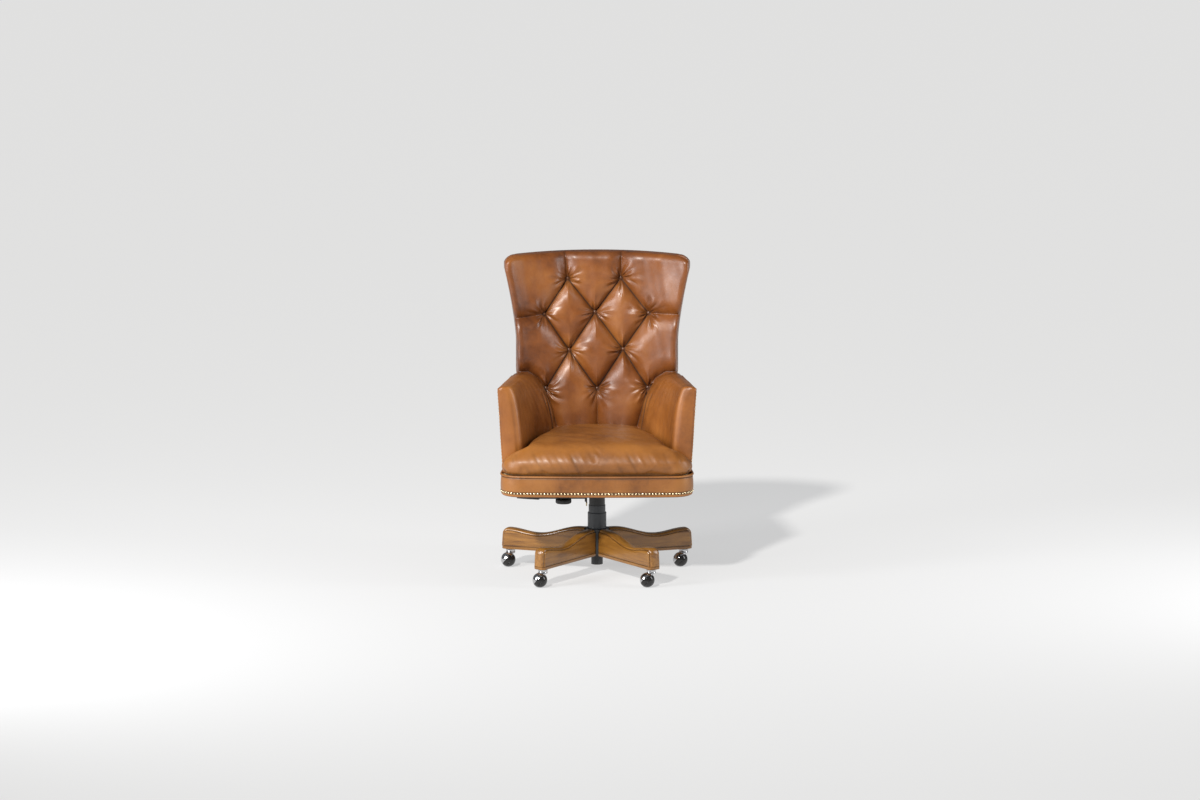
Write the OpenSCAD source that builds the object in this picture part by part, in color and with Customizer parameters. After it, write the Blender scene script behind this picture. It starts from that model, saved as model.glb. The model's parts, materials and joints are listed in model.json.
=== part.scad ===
// Swivel office chair: leather seat, arms and tufted back on a wooden five-leg base.
// Millimetres. Origin on the floor under the swivel axis, +Z up, front of the seat towards -Y.

/* [Seat] */
// Width of the seat rail at its front corners
seat_front_w = 682; // [580:2:820]
// Width of the seat rail at its back corners
seat_rear_w = 592; // [490:2:710]
// Distance from the swivel axis to the front of the seat rail
seat_front = 290; // [240:2:350]
// Distance from the front of the seat rail to the inside of the back, at seat height
seat_depth = 468; // [390:2:565]
// Height of the lower edge of the seat rail above the floor
rail_bottom = 321; // [300:1:390]
// Height of the leather-covered seat rail
rail_h = 69; // [50:1:90]
// Plan radius of the front corners of the rail
front_corner_r = 72; // [40:1:110]
// Plan radius of the back corners of the rail
rear_corner_r = 48; // [30:1:80]
// How far the front of the rail bows out at its middle
front_bow = 8; // [0:1:20]
// Thickness of the leather-wrapped band around the rail
band_t = 8; // [4:1:14]
// Height of the seat cushion at its crown, above the rail
cushion_h = 110; // [70:1:140]
// Radius of the dome that crowns the seat cushion
crown_r = 1900; // [1200:50:3200]
// Radius of the piping on top of the rail
welt_r = 4; // [2:0.5:6]

/* [Arms] */
// Height of the arms above the rail
arm_h = 304; // [220:2:370]
// How far the arm top falls from front to back
arm_fall = 11; // [0:1:40]
// Distance from the front of the rail back to the front of the arms
arm_setback = 92; // [60:1:130]
// Thickness of an arm at its front
arm_t = 70; // [50:1:90]
// How much thicker an arm is where it meets the back
arm_swell = 26; // [0:1:45]
// Outward flare of the arm top at its front
arm_flare = 19; // [0:1:40]
// Inward lean of the arm top at its back
arm_pinch = 8; // [0:1:10]

/* [Back] */
// Height of the back above the rail
back_h = 708; // [560:2:860]
// Width of the back at its waist
waist_w = 564; // [470:2:680]
// Height of the waist above the rail
waist_h = 400; // [320:2:470]
// Widening of the back on each side, from its waist to its top
back_flare = 42; // [10:1:60]
// Rake of the back from the vertical, in degrees
back_rake = 8; // [2:0.5:14]
// How far the side edges of the back come forward of its middle
back_wrap = 72; // [30:1:80]
// Thickness of the padding of the back
back_pad_t = 68; // [40:1:85]
// Thickness of the wooden frame of the back
back_frame_t = 27; // [18:1:34]
// How much narrower the back is on each side between the arms
back_tuck = 14; // [8:1:24]
// Radius of the top corners of the back
back_corner_r = 28; // [15:1:60]
// Width of the boards of the back frame
back_board_w = 58; // [40:1:75]
// Thickness of the outside leather panels
panel_t = 4; // [2:0.5:6]

/* [Buttons and nails] */
// Radius of a covered button
button_r = 7.5; // [5:0.5:11]
// Sideways distance between neighbouring buttons of two rows
button_step = 93; // [70:1:105]
// Height of the lowest button row above the rail
button_first = 232; // [210:1:260]
// Height between button rows
button_rise = 128; // [100:1:140]
// Radius of a nail head
nail_r = 4; // [3:0.5:5]
// Distance from nail to nail
nail_pitch = 11.8; // [9:0.1:20]
// Height of the nail row above the lower edge of the rail
nail_row = 14; // [8:1:22]

/* [Base] */
// Radius of the base at the leg tips
base_r = 352; // [290:2:425]
// Width of a leg
leg_w = 46; // [36:1:50]
// Height of the underside of the legs above the floor
leg_bottom = 63; // [60:1:75]
// Height of a leg where it meets the hub
leg_hub_h = 94; // [80:1:110]
// Height of a leg at its waist
leg_waist_h = 62; // [45:1:75]
// Height of a leg near its tip
leg_tip_h = 75; // [56:1:88]
// Radius of the hub
hub_r = 41; // [36:1:48]
// Thickness of the hub tongues that the legs are bolted to
tongue_t = 6; // [4:0.5:9]
// Radius of the leg bolts
leg_bolt_r = 3; // [2:0.5:4]

/* [Casters] */
// Radius of the caster ball
ball_r = 26; // [22:0.5:27]
// Distance of the ball behind its stem
caster_trail = 21; // [17:0.5:23]
// Distance of the caster stem from the leg tip
stem_inset = 30; // [22:1:40]
// Radius of the caster stem
stem_r = 5.5; // [4:0.5:6.5]
// Radius of the caster axle
axle_r = 3; // [2:0.5:4]

/* [Column] */
// Radius of the gas column's outer tube
tube_r = 20.5; // [19:0.5:22]
// Radius of the pressure tube
pressure_r = 14; // [12:0.5:15]
// Radius of the piston rod
rod_r = 5; // [4:0.5:6]
// Radius of the lowest dust cover
cover_r = 32.9; // [31.5:0.1:35]
// Height of the lowest dust cover
cover_h = 56; // [50:1:62]
// Travel of the seat down from its middle height
stroke_down = 45; // [20:1:46]
// Travel of the seat up from its middle height
stroke_up = 50; // [20:1:52]

/* [Mechanism] */
// Width of the mechanism housing
housing_w = 120; // [100:2:150]
// Radius of the tilt pivot shaft
shaft_r = 8; // [6:0.5:9]
// Length of the height lever from the swivel axis to its tip
lever_reach = 283; // [240:1:320]
// Radius of the height lever's rod
lever_r = 4.25; // [3:0.25:5]
// Radius of the tension knob
knob_r = 28; // [20:1:32]
// Height of the tension knob
knob_h = 17; // [12:1:20]

/* [Hidden] */
$fn = 48;
running_gap = 0.05;   // radial clearance of a turning or sliding fit
body_gap = 0.4;       // clearance between pieces that move past each other
soft_gap = 3;         // clearance around the loose sides of the cushion
joint_gap = 1.2;      // glue and cloth around a wooden board

rail_top = rail_bottom + rail_h;
back_in_y = seat_depth - seat_front;
seat_top = rail_top + cushion_h;
back_t = back_pad_t + back_frame_t + panel_t;
rail_rear = back_face(0, rail_top) + back_t + band_t;
half_front = seat_front_w / 2;
half_rear = seat_rear_w / 2;
taper = atan((half_front - half_rear) / (seat_front + rail_rear));
arm_front_y = arm_setback - seat_front;
leather_inset = 6;
back_top = rail_top + back_h;
waist_z = rail_top + waist_h;
flare_z = back_top - 50;
back_columns = 14;
board_columns = 6;
nail_lift = 0.6;      // clearance under nail heads and buttons

arm_rows = 9;
arm_back_y = back_in_y - back_wrap * 0.7;
panel_end = 1 + back_t / (arm_back_y - arm_front_y);
panel_share = 1 - panel_t / arm_t;
// Padding of an arm: share of the thickness inside its frame, and shares of height and length
pad_share = 0.42;
cap_rise = 1 - 26 / arm_h;
front_s = 0.05;
post_s = 0.16;

leg_angles = [for (i = [0:4]) -54 + 72 * i];
hub_top = leg_bottom + leg_hub_h;
hub_bottom = leg_bottom + 3;
leg_start = hub_r;
tongue_end = hub_r + 54;
tongue_z = leg_bottom + 15;
tongue_h = 50;
leg_bolt_at = [hub_r + 15, hub_r + 40];
bead_w = 5;
bead_drop = 7;
groove_z = leg_bottom + 11;
groove_w = 2;

stem_at = base_r - stem_inset;
socket_wall = 2.5;
socket_h = 34;
flange_t = 1.5;
collar_top = leg_bottom - flange_t - body_gap;
collar_r = 16.5;
collar_h = 15;
hood_wall = 2.2;
split_gap = 0.5;
axle_tilt = 45;
// Direction in which each ball trails, by leg
trail_angles = [229, 237, 240, 247, 241];

tube_wall = 2;
tube_bottom = 27;
tube_top = hub_top + 48;
bush_h = 55;
pressure_wall = 2;
mech_z = rail_bottom - 41;
pressure_top = mech_z + 20;
pressure_bottom = tube_top - stroke_up - 30;
plug_h = 15;
cap_h = 8;
piston_z = tube_top - 5;
piston_h = 15;
seal_z = tube_bottom + 11;
seal_t = 5;
bearing_h = 8;
cover_wall = 1.6;
mid_cover_r = cover_r - cover_wall - 1.6;
top_cover_r = mid_cover_r - 1.3 - body_gap;
top_cover_bottom = hub_top + stroke_down + 5;
mid_cover_bottom = hub_top + cover_h - stroke_up / 2 - 6;
mid_cover_top = top_cover_bottom + stroke_up / 2 + 8;

wall = 4;
housing_front = -72;
housing_rear = 78;
housing_top = mech_z + 40;
housing_rear_top = mech_z + 16;
plate_t = 5;
plate_z = rail_bottom + 6;
shaft_y = -48;
shaft_z = mech_z + 25;
ear_t = 6;
ear_r = shaft_r + 4;
plate_half = 110;
plate_front = -95;
plate_rear = 125;
plate_bolt_x = 90;
plate_bolt_y = [-78, 108];
plate_bolt_r = 4;
cross_rail_w = 56;
cross_rail_h = 40;
frame_z = plate_z + plate_t;
deck_t = 12;
frame_wall = 30;

lever_z = mech_z - 16;
lever_pivot = [-housing_w / 2 + 15, mech_z + 6];
lever_pivot_r = 3;
grip_l = 80;
grip_r = 7;
lever_bend_x = -39;
tab_t = 5;
button_top = pressure_top + 6;
tab_z = button_top + body_gap;
knob_at = [-118, -45];
knob_z = mech_z - 27;
wing_h = 11;
screw_r = 5;

// ---- helpers -------------------------------------------------------------------------

function mix(a, b, t) = a + (b - a) * t;
function ease(t) = (1 - cos(180 * t)) / 2;
function flip_x(points) = [for (i = [len(points) - 1:-1:0]) [-points[i].x, points[i].y]];

// Closed solid through a stack of rings of the same even number of points. Point k of a ring
// faces point n - 1 - k, so that the caps are strips and follow a curved ring.
module loft(rings) {
    n = len(rings[0]);
    m = len(rings);
    sides = [
        for (i = [0:m - 2], j = [0:n - 1])
            let (a = i * n + j, b = i * n + (j + 1) % n)
            each [[a, b, a + n], [b, b + n, a + n]]
    ];
    e = (m - 1) * n;
    caps = [
        for (k = [0:n / 2 - 2])
            let (p = k, q = k + 1, r = n - 2 - k, t = n - 1 - k)
            each [[r, q, p], [t, r, p], [e + p, e + q, e + r], [e + p, e + r, e + t]]
    ];
    polyhedron([for (ring = rings) each ring], concat(caps, sides), convexity = 8);
}

// Eight-sided cord along a path; a closed path joins its last ring to its first
module cord_along(path, r, closed) {
    n = 8;
    m = len(path);
    function before(i) = closed ? path[(i + m - 1) % m] : path[max(i - 1, 0)];
    function after(i) = closed ? path[(i + 1) % m] : path[min(i + 1, m - 1)];
    rings = [
        for (i = [0:m - 1])
            let (d = after(i) - before(i))
            let (t = d / norm(d))
            let (side = abs(t.z) > 0.9 ? cross(t, [0, 1, 0]) : cross(t, [0, 0, 1]))
            let (s = side / norm(side), u = cross(s, t))
            [for (j = [0:n - 1]) path[i] + r * (cos(360 * j / n) * s + sin(360 * j / n) * u)]
    ];
    rows = closed ? m : m - 1;
    sides = [
        for (i = [0:rows - 1], j = [0:n - 1])
            let (k = ((i + 1) % m) * n, a = i * n + j, b = i * n + (j + 1) % n)
            each [[a, b, k + j], [b, k + (j + 1) % n, k + j]]
    ];
    caps = closed ? [] : [[for (j = [n - 1:-1:0]) j], [for (j = [0:n - 1]) (m - 1) * n + j]];
    polyhedron([for (ring = rings) each ring], concat(caps, sides), convexity = 8);
}

// Points every `pitch` along a polyline, each with the direction of travel there
function step_to(p, i) = i < len(p) ? norm(p[i] - p[i - 1]) : 0;
function running(p) = [for (i = 0, s = 0; i < len(p); s = s + step_to(p, i + 1), i = i + 1) s];
function spaced(p, pitch) =
    let (s = running(p), total = s[len(s) - 1], count = floor(total / pitch))
    [
        for (k = [0:count - 1])
            let (at = (k + 0.5) * total / count)
            let (i = min([for (j = [1:len(s) - 1]) if (s[j] >= at) j]))
            let (t = (at - s[i - 1]) / (s[i] - s[i - 1]))
            [mix(p[i - 1], p[i], t), (p[i] - p[i - 1]) / norm(p[i] - p[i - 1])]
    ];

// Domed nail head standing on the plane z = 0
module nail_head() {
    cylinder(h = 1, r = nail_r, $fn = 20);
    translate([0, 0, 1]) cylinder(h = 1.2, r1 = nail_r, r2 = nail_r / 2, $fn = 20);
}

// Places children at a point, with their +Z along a normal and `lift` above the point
module standing_on(point, normal, lift) {
    translate(point + normal * lift / norm(normal))
        rotate([0, acos(normal.z / norm(normal)), atan2(normal.y, normal.x)]) children();
}

// ---- outlines --------------------------------------------------------------------------

// Half of the rail's plan, from the middle of the front to the middle of the back
function rail_half(inset) =
    let (
        rf = front_corner_r,
        rr = rear_corner_r,
        front_c = [half_front - rf * (1 + sin(taper)) / cos(taper), rf - seat_front],
        run = seat_front + rail_rear - rr,
        rear_c = [half_front - (rr + run * sin(taper)) / cos(taper), rail_rear - rr]
    )
    concat(
        [for (k = [0:5]) let (t = k / 6)
            [front_c.x * t, inset - seat_front - front_bow * (1 - t * t)]],
        [for (k = [0:10]) let (a = mix(-90, taper, k / 10))
            front_c + (rf - inset) * [cos(a), sin(a)]],
        [for (k = [0:8]) let (a = mix(taper, 90, k / 8))
            rear_c + (rr - inset) * [cos(a), sin(a)]]
    );
function without_first(p) = [for (i = [1:len(p) - 1]) p[i]];
function rail_outline(inset) =
    let (half = rail_half(inset))
    concat(half, [for (p = flip_x(without_first(half))) p]);
function rail_side_x(y, inset) = half_front - (y + seat_front) * tan(taper) - inset / cos(taper);

// Inside face of the back: rake, and the side edges wrapped forward
function back_half_w(z) =
    let (
        t = min(max((z - waist_z) / (flare_z - waist_z), 0), 1),
        w = waist_w / 2 + back_flare * pow(t, 1.4),
        tuck = back_tuck * ease(min(max((rail_top + arm_h - z) / 120, 0), 1)),
        over = max(z - back_top + back_corner_r, 0)
    )
    w - tuck - back_corner_r + sqrt(max(back_corner_r * back_corner_r - over * over, 0));
function back_face(x, z) =
    back_in_y + (z - seat_top) * tan(back_rake) - back_wrap * pow(abs(x) / (waist_w / 2), 2.2);
// Normal of the back's faces, pointing to the rear
function back_normal(x, z) = [back_face(x - 1, z) - back_face(x + 1, z), 2, -2 * tan(back_rake)];
back_levels = concat(
    [for (k = [0:11]) mix(rail_top, back_top - back_corner_r, k / 11)],
    [for (a = [20, 40, 60, 78]) back_top - back_corner_r * (1 - sin(a))]
);
// One level of the back between two depths behind its inside face and two shares of its width
function back_ring(z, near, far, left, right, columns) =
    let (xs = [for (k = [0:columns]) back_half_w(z) * mix(left, right, k / columns)])
    concat(
        [for (x = xs) [x, back_face(x, z) + far, z]],
        [for (k = [columns:-1:0]) [xs[k], back_face(xs[k], z) + near, z]]
    );
module back_layer(near, far) {
    loft([for (z = back_levels) back_ring(z, near, far, -1, 1, back_columns)]);
}

// Arm: outer and inner faces, and the plane where it meets the back
function arm_rise(z) = (z - rail_top) / arm_h;
function arm_along(y) = (y - arm_front_y) / (back_in_y - arm_front_y);
function arm_out(y, z) =
    rail_side_x(y, leather_inset) + mix(arm_flare, -arm_pinch, arm_along(y)) * arm_rise(z);
function arm_thick(y) = arm_t + arm_swell * pow(arm_along(y), 2);
function arm_top(y) =
    rail_top + arm_h - arm_fall * arm_along(y) - arm_h * max(arm_along(y) - 0.8, 0);
function arm_end(x, z) =
    let (inner = waist_w / 2 - arm_t - arm_swell * 0.6)
    let (slope = (back_face(inner, 0) - back_face(waist_w / 2, 0)) / (waist_w / 2 - inner))
    back_face(inner, z) - slope * (x - inner) - soft_gap;
// Point of an arm: share of its thickness from inside out, share of its length, share of its height
function arm_point(share, s, rise) =
    let (
        y_guess = mix(arm_front_y, arm_back_y, s),
        z = mix(rail_top, arm_top(y_guess), rise),
        x = arm_out(y_guess, z) - arm_thick(y_guess) * (1 - share),
        y = mix(arm_front_y, arm_end(x, z), s)
    )
    [x, y, z];
// Normal of an arm's outer face
function arm_normal(y, rise) =
    let (s = arm_along(y))
    cross(arm_point(1, s + 0.01, rise) - arm_point(1, s - 0.01, rise),
          arm_point(1, s, rise + 0.01) - arm_point(1, s, rise - 0.01));
// Ring through corners given as [share of the thickness, share of the height]
module arm_loft(from_s, to_s, corners) {
    loft([for (k = [0:arm_rows]) let (s = mix(from_s, to_s, k / arm_rows))
        [for (c = corners) arm_point(c.x, s, c.y)]]);
}
module arm_layer(from_s, to_s, a, b, low, high) {
    arm_loft(from_s, to_s, [[a, low], [b, low], [b, high], [a, high]]);
}

// ---- base ------------------------------------------------------------------------------

function leg_top(r) =
    let (flat_end = 60, waist_at = base_r * 0.62, crest_at = base_r - 26)
    r < flat_end ? leg_hub_h
    : r < waist_at ? mix(leg_hub_h, leg_waist_h, ease((r - flat_end) / (waist_at - flat_end)))
    : r < crest_at ? mix(leg_waist_h, leg_tip_h, ease((r - waist_at) / (crest_at - waist_at)))
    : leg_tip_h;
// Side view of a leg, with its upper edge lowered by `drop`
function leg_profile(drop) =
    let (nose_r = 22, nose = [base_r - nose_r - 3, leg_tip_h - nose_r])
    concat(
        [[leg_start, leg_bottom], [base_r - drop / 3, leg_bottom]],
        [for (a = [0:15:90]) [nose.x + nose_r * cos(a) - drop / 3,
                              leg_bottom + nose.y + nose_r * sin(a) - drop]],
        [for (k = [16:-1:0]) let (r = mix(leg_start, nose.x - 4, k / 16))
            [r, leg_bottom + leg_top(r) - drop]]
    );
module leg_slab(width, drop) {
    rotate([90, 0, 0]) linear_extrude(width, center = true) polygon(leg_profile(drop));
}
module leg(i) {
    color("peru") rotate([0, 0, leg_angles[i]]) difference() {
        union() {
            leg_slab(leg_w - 2 * bead_w, 0);
            leg_slab(leg_w, bead_drop);
        }
        for (side = [-1, 1]) translate([leg_start - 1, side * leg_w / 2 - groove_w, groove_z])
            cube([base_r, 2 * groove_w, groove_w]);
        translate([leg_start - 1, -tongue_t / 2, tongue_z])
            cube([tongue_end - leg_start + 1, tongue_t, tongue_h]);
        for (r = leg_bolt_at) translate([r, 0, tongue_z + tongue_h / 2]) rotate([90, 0, 0])
            cylinder(h = leg_w + 2, r = leg_bolt_r, center = true);
        for (r = leg_bolt_at, side = [-1, 1])
            translate([r, side * leg_w / 2, tongue_z + tongue_h / 2]) rotate([90, 0, 0])
                cylinder(h = 10, r = 2 * leg_bolt_r, center = true);
        translate([stem_at, 0, leg_bottom - 1])
            cylinder(h = socket_h + 1, r = stem_r + running_gap + socket_wall);
    }
}
module base_hub() {
    color("dimgray") difference() {
        union() {
            translate([0, 0, hub_bottom]) cylinder(h = hub_top - hub_bottom, r = hub_r, $fn = 96);
            for (a = leg_angles) rotate([0, 0, a]) translate([hub_r - 4, -tongue_t / 2, tongue_z])
                cube([tongue_end - hub_r + 4, tongue_t, tongue_h]);
        }
        translate([0, 0, hub_bottom - 1]) cylinder(h = leg_hub_h + 2, r = tube_r);
        for (a = leg_angles, r = leg_bolt_at) rotate([0, 0, a])
            translate([r, 0, tongue_z + tongue_h / 2]) rotate([90, 0, 0])
                cylinder(h = tongue_t + 2, r = leg_bolt_r, center = true);
    }
}
module leg_bolts() {
    color("gray") for (a = leg_angles, r = leg_bolt_at) rotate([0, 0, a])
        translate([r, 0, tongue_z + tongue_h / 2]) rotate([90, 0, 0]) {
            cylinder(h = leg_w - 10, r = leg_bolt_r, center = true);
            for (side = [0, 180]) rotate([side, 0, 0]) translate([0, 0, leg_w / 2 - 5])
                cylinder(h = 4, r = 2 * leg_bolt_r - 0.5);
        }
}
module caster_sockets() {
    color("silver") for (a = leg_angles) rotate([0, 0, a])
        translate([stem_at, 0, leg_bottom]) difference() {
            union() {
                cylinder(h = socket_h, r = stem_r + running_gap + socket_wall);
                translate([0, 0, -flange_t]) cylinder(h = flange_t, r = collar_r - 2);
            }
            translate([0, 0, -flange_t - 1])
                cylinder(h = socket_h + flange_t + 2, r = stem_r + running_gap);
        }
}

// ---- casters ---------------------------------------------------------------------------

// Places children with the ball centre at the origin and the axle along +Z, wheel side up
module at_ball(i) {
    rotate([0, 0, leg_angles[i]]) translate([stem_at, 0, ball_r])
        rotate([0, 0, trail_angles[i] - leg_angles[i]]) translate([caster_trail, 0, 0])
            rotate([180 + axle_tilt, 0, 0]) children();
}
module caster_hood(i) {
    color("silver") {
        at_ball(i) {
            rotate_extrude() intersection() {
                difference() {
                    circle(ball_r);
                    circle(ball_r - hood_wall);
                }
                translate([0, -ball_r]) square([ball_r, ball_r - split_gap]);
            }
            translate([0, 0, -ball_r + hood_wall / 2])
                cylinder(h = (3 * ball_r - hood_wall) / 2, r = axle_r);
        }
        rotate([0, 0, leg_angles[i]]) translate([stem_at, 0, 0]) {
            difference() {
                translate([0, 0, collar_top - collar_h]) cylinder(h = collar_h, r = collar_r);
                rotate([0, 0, trail_angles[i] - leg_angles[i]])
                    translate([caster_trail, 0, ball_r]) sphere(ball_r - hood_wall / 2);
            }
            translate([0, 0, collar_top - 1]) cylinder(h = socket_h - 2, r = stem_r);
        }
    }
}
module caster_wheel(i) {
    hub_l = 9;
    color([0.12, 0.12, 0.12]) at_ball(i) difference() {
        union() {
            rotate_extrude() intersection() {
                circle(ball_r);
                translate([0, split_gap]) square([ball_r, ball_r]);
            }
            translate([0, 0, -hub_l]) cylinder(h = hub_l + 1, r = axle_r + 5);
        }
        translate([0, 0, -hub_l - 1])
            cylinder(h = hub_l + ball_r / 2 + 1 + body_gap, r = axle_r + running_gap);
    }
}

// ---- gas column ------------------------------------------------------------------------

module ring(z, h, r, bore) {
    translate([0, 0, z]) difference() {
        cylinder(h = h, r = r);
        translate([0, 0, -1]) cylinder(h = h + 2, r = bore);
    }
}
module lift_outer_tube() {
    color("black") {
        ring(tube_bottom, tube_top - tube_bottom, tube_r, tube_r - tube_wall);
        ring(seal_z, seal_t, tube_r - tube_wall / 2, rod_r + 1);
    }
}
module guide_bush() {
    color("ivory") ring(tube_top - bush_h, bush_h, tube_r - tube_wall, pressure_r + running_gap);
}
module thrust_bearing() {
    color("silver") ring(seal_z + seal_t, bearing_h, tube_r - tube_wall - 3, rod_r + running_gap);
}
module piston_rod() {
    color("silver") {
        translate([0, 0, seal_z - 6]) cylinder(h = piston_z - seal_z + 7, r = rod_r);
        translate([0, 0, piston_z]) cylinder(h = piston_h, r = pressure_r - pressure_wall - running_gap);
        translate([0, 0, seal_z + seal_t + bearing_h + body_gap]) cylinder(h = 3, r = 2 * rod_r + 2);
    }
}
module retaining_clip() {
    color("gray") ring(seal_z - 5, 3, rod_r + 4, rod_r);
}
module pressure_tube() {
    color("dimgray") {
        ring(pressure_bottom, pressure_top - pressure_bottom, pressure_r, pressure_r - pressure_wall);
        ring(pressure_bottom, cap_h, pressure_r - pressure_wall / 2, rod_r + running_gap);
        ring(pressure_top - plug_h, plug_h, pressure_r - pressure_wall / 2, 4 + running_gap);
    }
}
module valve_button() {
    color("silver") translate([0, 0, pressure_top - 8]) cylinder(h = button_top - pressure_top + 8, r = 4);
}
module lower_cover() {
    color([0.2, 0.2, 0.22]) {
        ring(hub_top, cover_h, cover_r, cover_r - cover_wall);
        ring(hub_top, 2, cover_r - cover_wall / 2, tube_r);
    }
}
module middle_cover() {
    color([0.16, 0.16, 0.17])
        ring(mid_cover_bottom, mid_cover_top - mid_cover_bottom, mid_cover_r, mid_cover_r - 1.3);
}
module upper_cover() {
    color([0.1, 0.1, 0.1]) {
        ring(top_cover_bottom, mech_z - 1 - top_cover_bottom, top_cover_r, top_cover_r - 1.3);
        ring(mech_z - 3, 3, top_cover_r, pressure_r);
    }
}

// ---- mechanism -------------------------------------------------------------------------

module housing_wall(x) {
    translate([x, 0, 0]) rotate([90, 0, 90]) linear_extrude(wall) polygon([
        [housing_front, mech_z], [housing_rear, mech_z], [housing_rear, housing_rear_top],
        [-20, housing_top], [housing_front, housing_top]
    ]);
}
module mechanism_housing() {
    half = housing_w / 2;
    color([0.12, 0.12, 0.13]) difference() {
        union() {
            housing_wall(-half);
            housing_wall(half - wall);
            translate([-half, housing_front, mech_z]) cube([housing_w, housing_rear - housing_front, wall]);
            translate([-half, housing_front, mech_z]) cube([housing_w, wall, housing_top - mech_z]);
            translate([-half, housing_rear - wall, mech_z])
                cube([housing_w, wall, housing_rear_top - mech_z]);
            translate([0, 0, mech_z]) cylinder(h = pressure_top - mech_z, r = pressure_r + 7);
            translate([knob_at.x - 20, knob_at.y - 18, mech_z])
                cube([-half + 1 - knob_at.x + 20, 36, wing_h]);
            for (side = [-1, 1]) translate([lever_pivot.x - 7, side * 10 - 2, mech_z])
                cube([14, 4, 12]);
        }
        translate([0, 0, mech_z - 1]) cylinder(h = 40, r = pressure_r);
        translate([lever_pivot.x - 10.5, -6, mech_z - 1]) cube([25.5, 12, wall + 2]);
        translate([0, shaft_y, shaft_z]) rotate([0, 90, 0])
            cylinder(h = housing_w + 2, r = shaft_r, center = true);
        translate([lever_pivot.x, 0, lever_pivot.y]) rotate([90, 0, 0])
            cylinder(h = 30, r = lever_pivot_r + running_gap, center = true);
        translate([knob_at.x, knob_at.y, mech_z - 1])
            cylinder(h = wing_h + 2, r = screw_r + running_gap);
    }
}
module pivot_shaft() {
    color("silver") translate([0, shaft_y, shaft_z]) rotate([0, 90, 0])
        cylinder(h = housing_w + 2 * ear_t + 8, r = shaft_r, center = true);
}
// Torsion springs on the pivot shaft, drawn as tubes with a corrugated outside
module tilt_springs() {
    turns = 7;
    pitch = (housing_w / 2 - wall - 24) / turns;
    outline = [for (k = [0:4 * turns]) [shaft_r + 6 + 1.6 * abs(sin(45 * k)), k * pitch / 4]];
    profile = concat([[shaft_r + 0.5, 0]], outline, [[shaft_r + 0.5, turns * pitch]]);
    color("gray") for (side = [0, 180]) translate([0, shaft_y, shaft_z]) rotate([0, 90, side])
        translate([0, 0, 22]) rotate_extrude() polygon(profile);
}
module lever_rod() {
    grip_start = lever_reach - grip_l;
    color([0.08, 0.08, 0.08]) {
        translate([-grip_start - 12, 0, lever_z]) rotate([0, 90, 0])
            cylinder(h = grip_start + 12 + lever_bend_x, r = lever_r);
        translate([lever_bend_x, 0, lever_z]) sphere(lever_r);
        translate([lever_bend_x, 0, lever_z - 14]) cylinder(h = 14, r = lever_r);
        translate([0, tab_t / 2, 0]) rotate([90, 0, 0]) linear_extrude(tab_t) polygon([
            [lever_pivot.x - 7, lever_z - 2], [lever_pivot.x + 8, lever_z - 2],
            [lever_pivot.x + 8, mech_z + 14], [lever_pivot.x + 19, tab_z], [6, tab_z],
            [6, tab_z + 5], [lever_pivot.x + 15, tab_z + 5], [lever_pivot.x - 7, mech_z + 12]
        ]);
        translate([lever_pivot.x, 0, lever_pivot.y]) rotate([90, 0, 0])
            cylinder(h = 26, r = lever_pivot_r, center = true);
    }
}
module lever_grip() {
    color([0.1, 0.1, 0.1]) translate([-lever_reach + grip_l, 0, lever_z]) rotate([0, -90, 0])
        difference() {
            cylinder(h = grip_l, r1 = grip_r, r2 = grip_r / 3);
            translate([0, 0, -1]) cylinder(h = 13, r = lever_r);
        }
}
module lever_pin() {
    color("goldenrod") translate([lever_bend_x + 2, 0, lever_z - 14 - 16]) cylinder(h = 16, r = 2.2);
}
module tension_knob() {
    color([0.1, 0.1, 0.1]) translate([knob_at.x, knob_at.y, knob_z]) difference() {
        union() {
            cylinder(h = 3, r1 = knob_r - 4, r2 = knob_r);
            translate([0, 0, 3]) cylinder(h = knob_h - 6, r = knob_r);
            translate([0, 0, knob_h - 3]) cylinder(h = 3, r1 = knob_r, r2 = knob_r - 4);
            translate([0, 0, knob_h - 1]) cylinder(h = mech_z - knob_z - knob_h + 1 - body_gap, r = 15);
        }
        translate([0, 0, 6]) cylinder(h = mech_z - knob_z, r = screw_r);
    }
}
module tension_screw() {
    color("silver") translate([knob_at.x, knob_at.y, knob_z + 6]) cylinder(h = 36, r = screw_r);
}
module seat_plate() {
    ear_x = housing_w / 2 + body_gap;
    color("dimgray") difference() {
        union() {
            translate([-plate_half, plate_front, plate_z])
                cube([2 * plate_half, plate_rear - plate_front, plate_t]);
            for (side = [0, 1]) mirror([side, 0, 0]) {
                translate([ear_x, shaft_y, shaft_z]) rotate([0, 90, 0]) cylinder(h = ear_t, r = ear_r);
                translate([ear_x, shaft_y - ear_r, shaft_z])
                    cube([ear_t, 2 * ear_r, plate_z - shaft_z + 1]);
            }
        }
        translate([0, shaft_y, shaft_z]) rotate([0, 90, 0])
            cylinder(h = 2 * plate_half, r = shaft_r + running_gap, center = true);
        for (side = [-1, 1], y = plate_bolt_y) translate([side * plate_bolt_x, y, plate_z - 1])
            cylinder(h = plate_t + 2, r = plate_bolt_r);
    }
}
module plate_bolts() {
    color("silver") for (side = [-1, 1], y = plate_bolt_y) translate([side * plate_bolt_x, y, plate_z]) {
        translate([0, 0, -5]) cylinder(h = 5, r = 7, $fn = 6);
        cylinder(h = plate_t + 28, r = plate_bolt_r);
    }
}

// ---- seat ------------------------------------------------------------------------------

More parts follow.
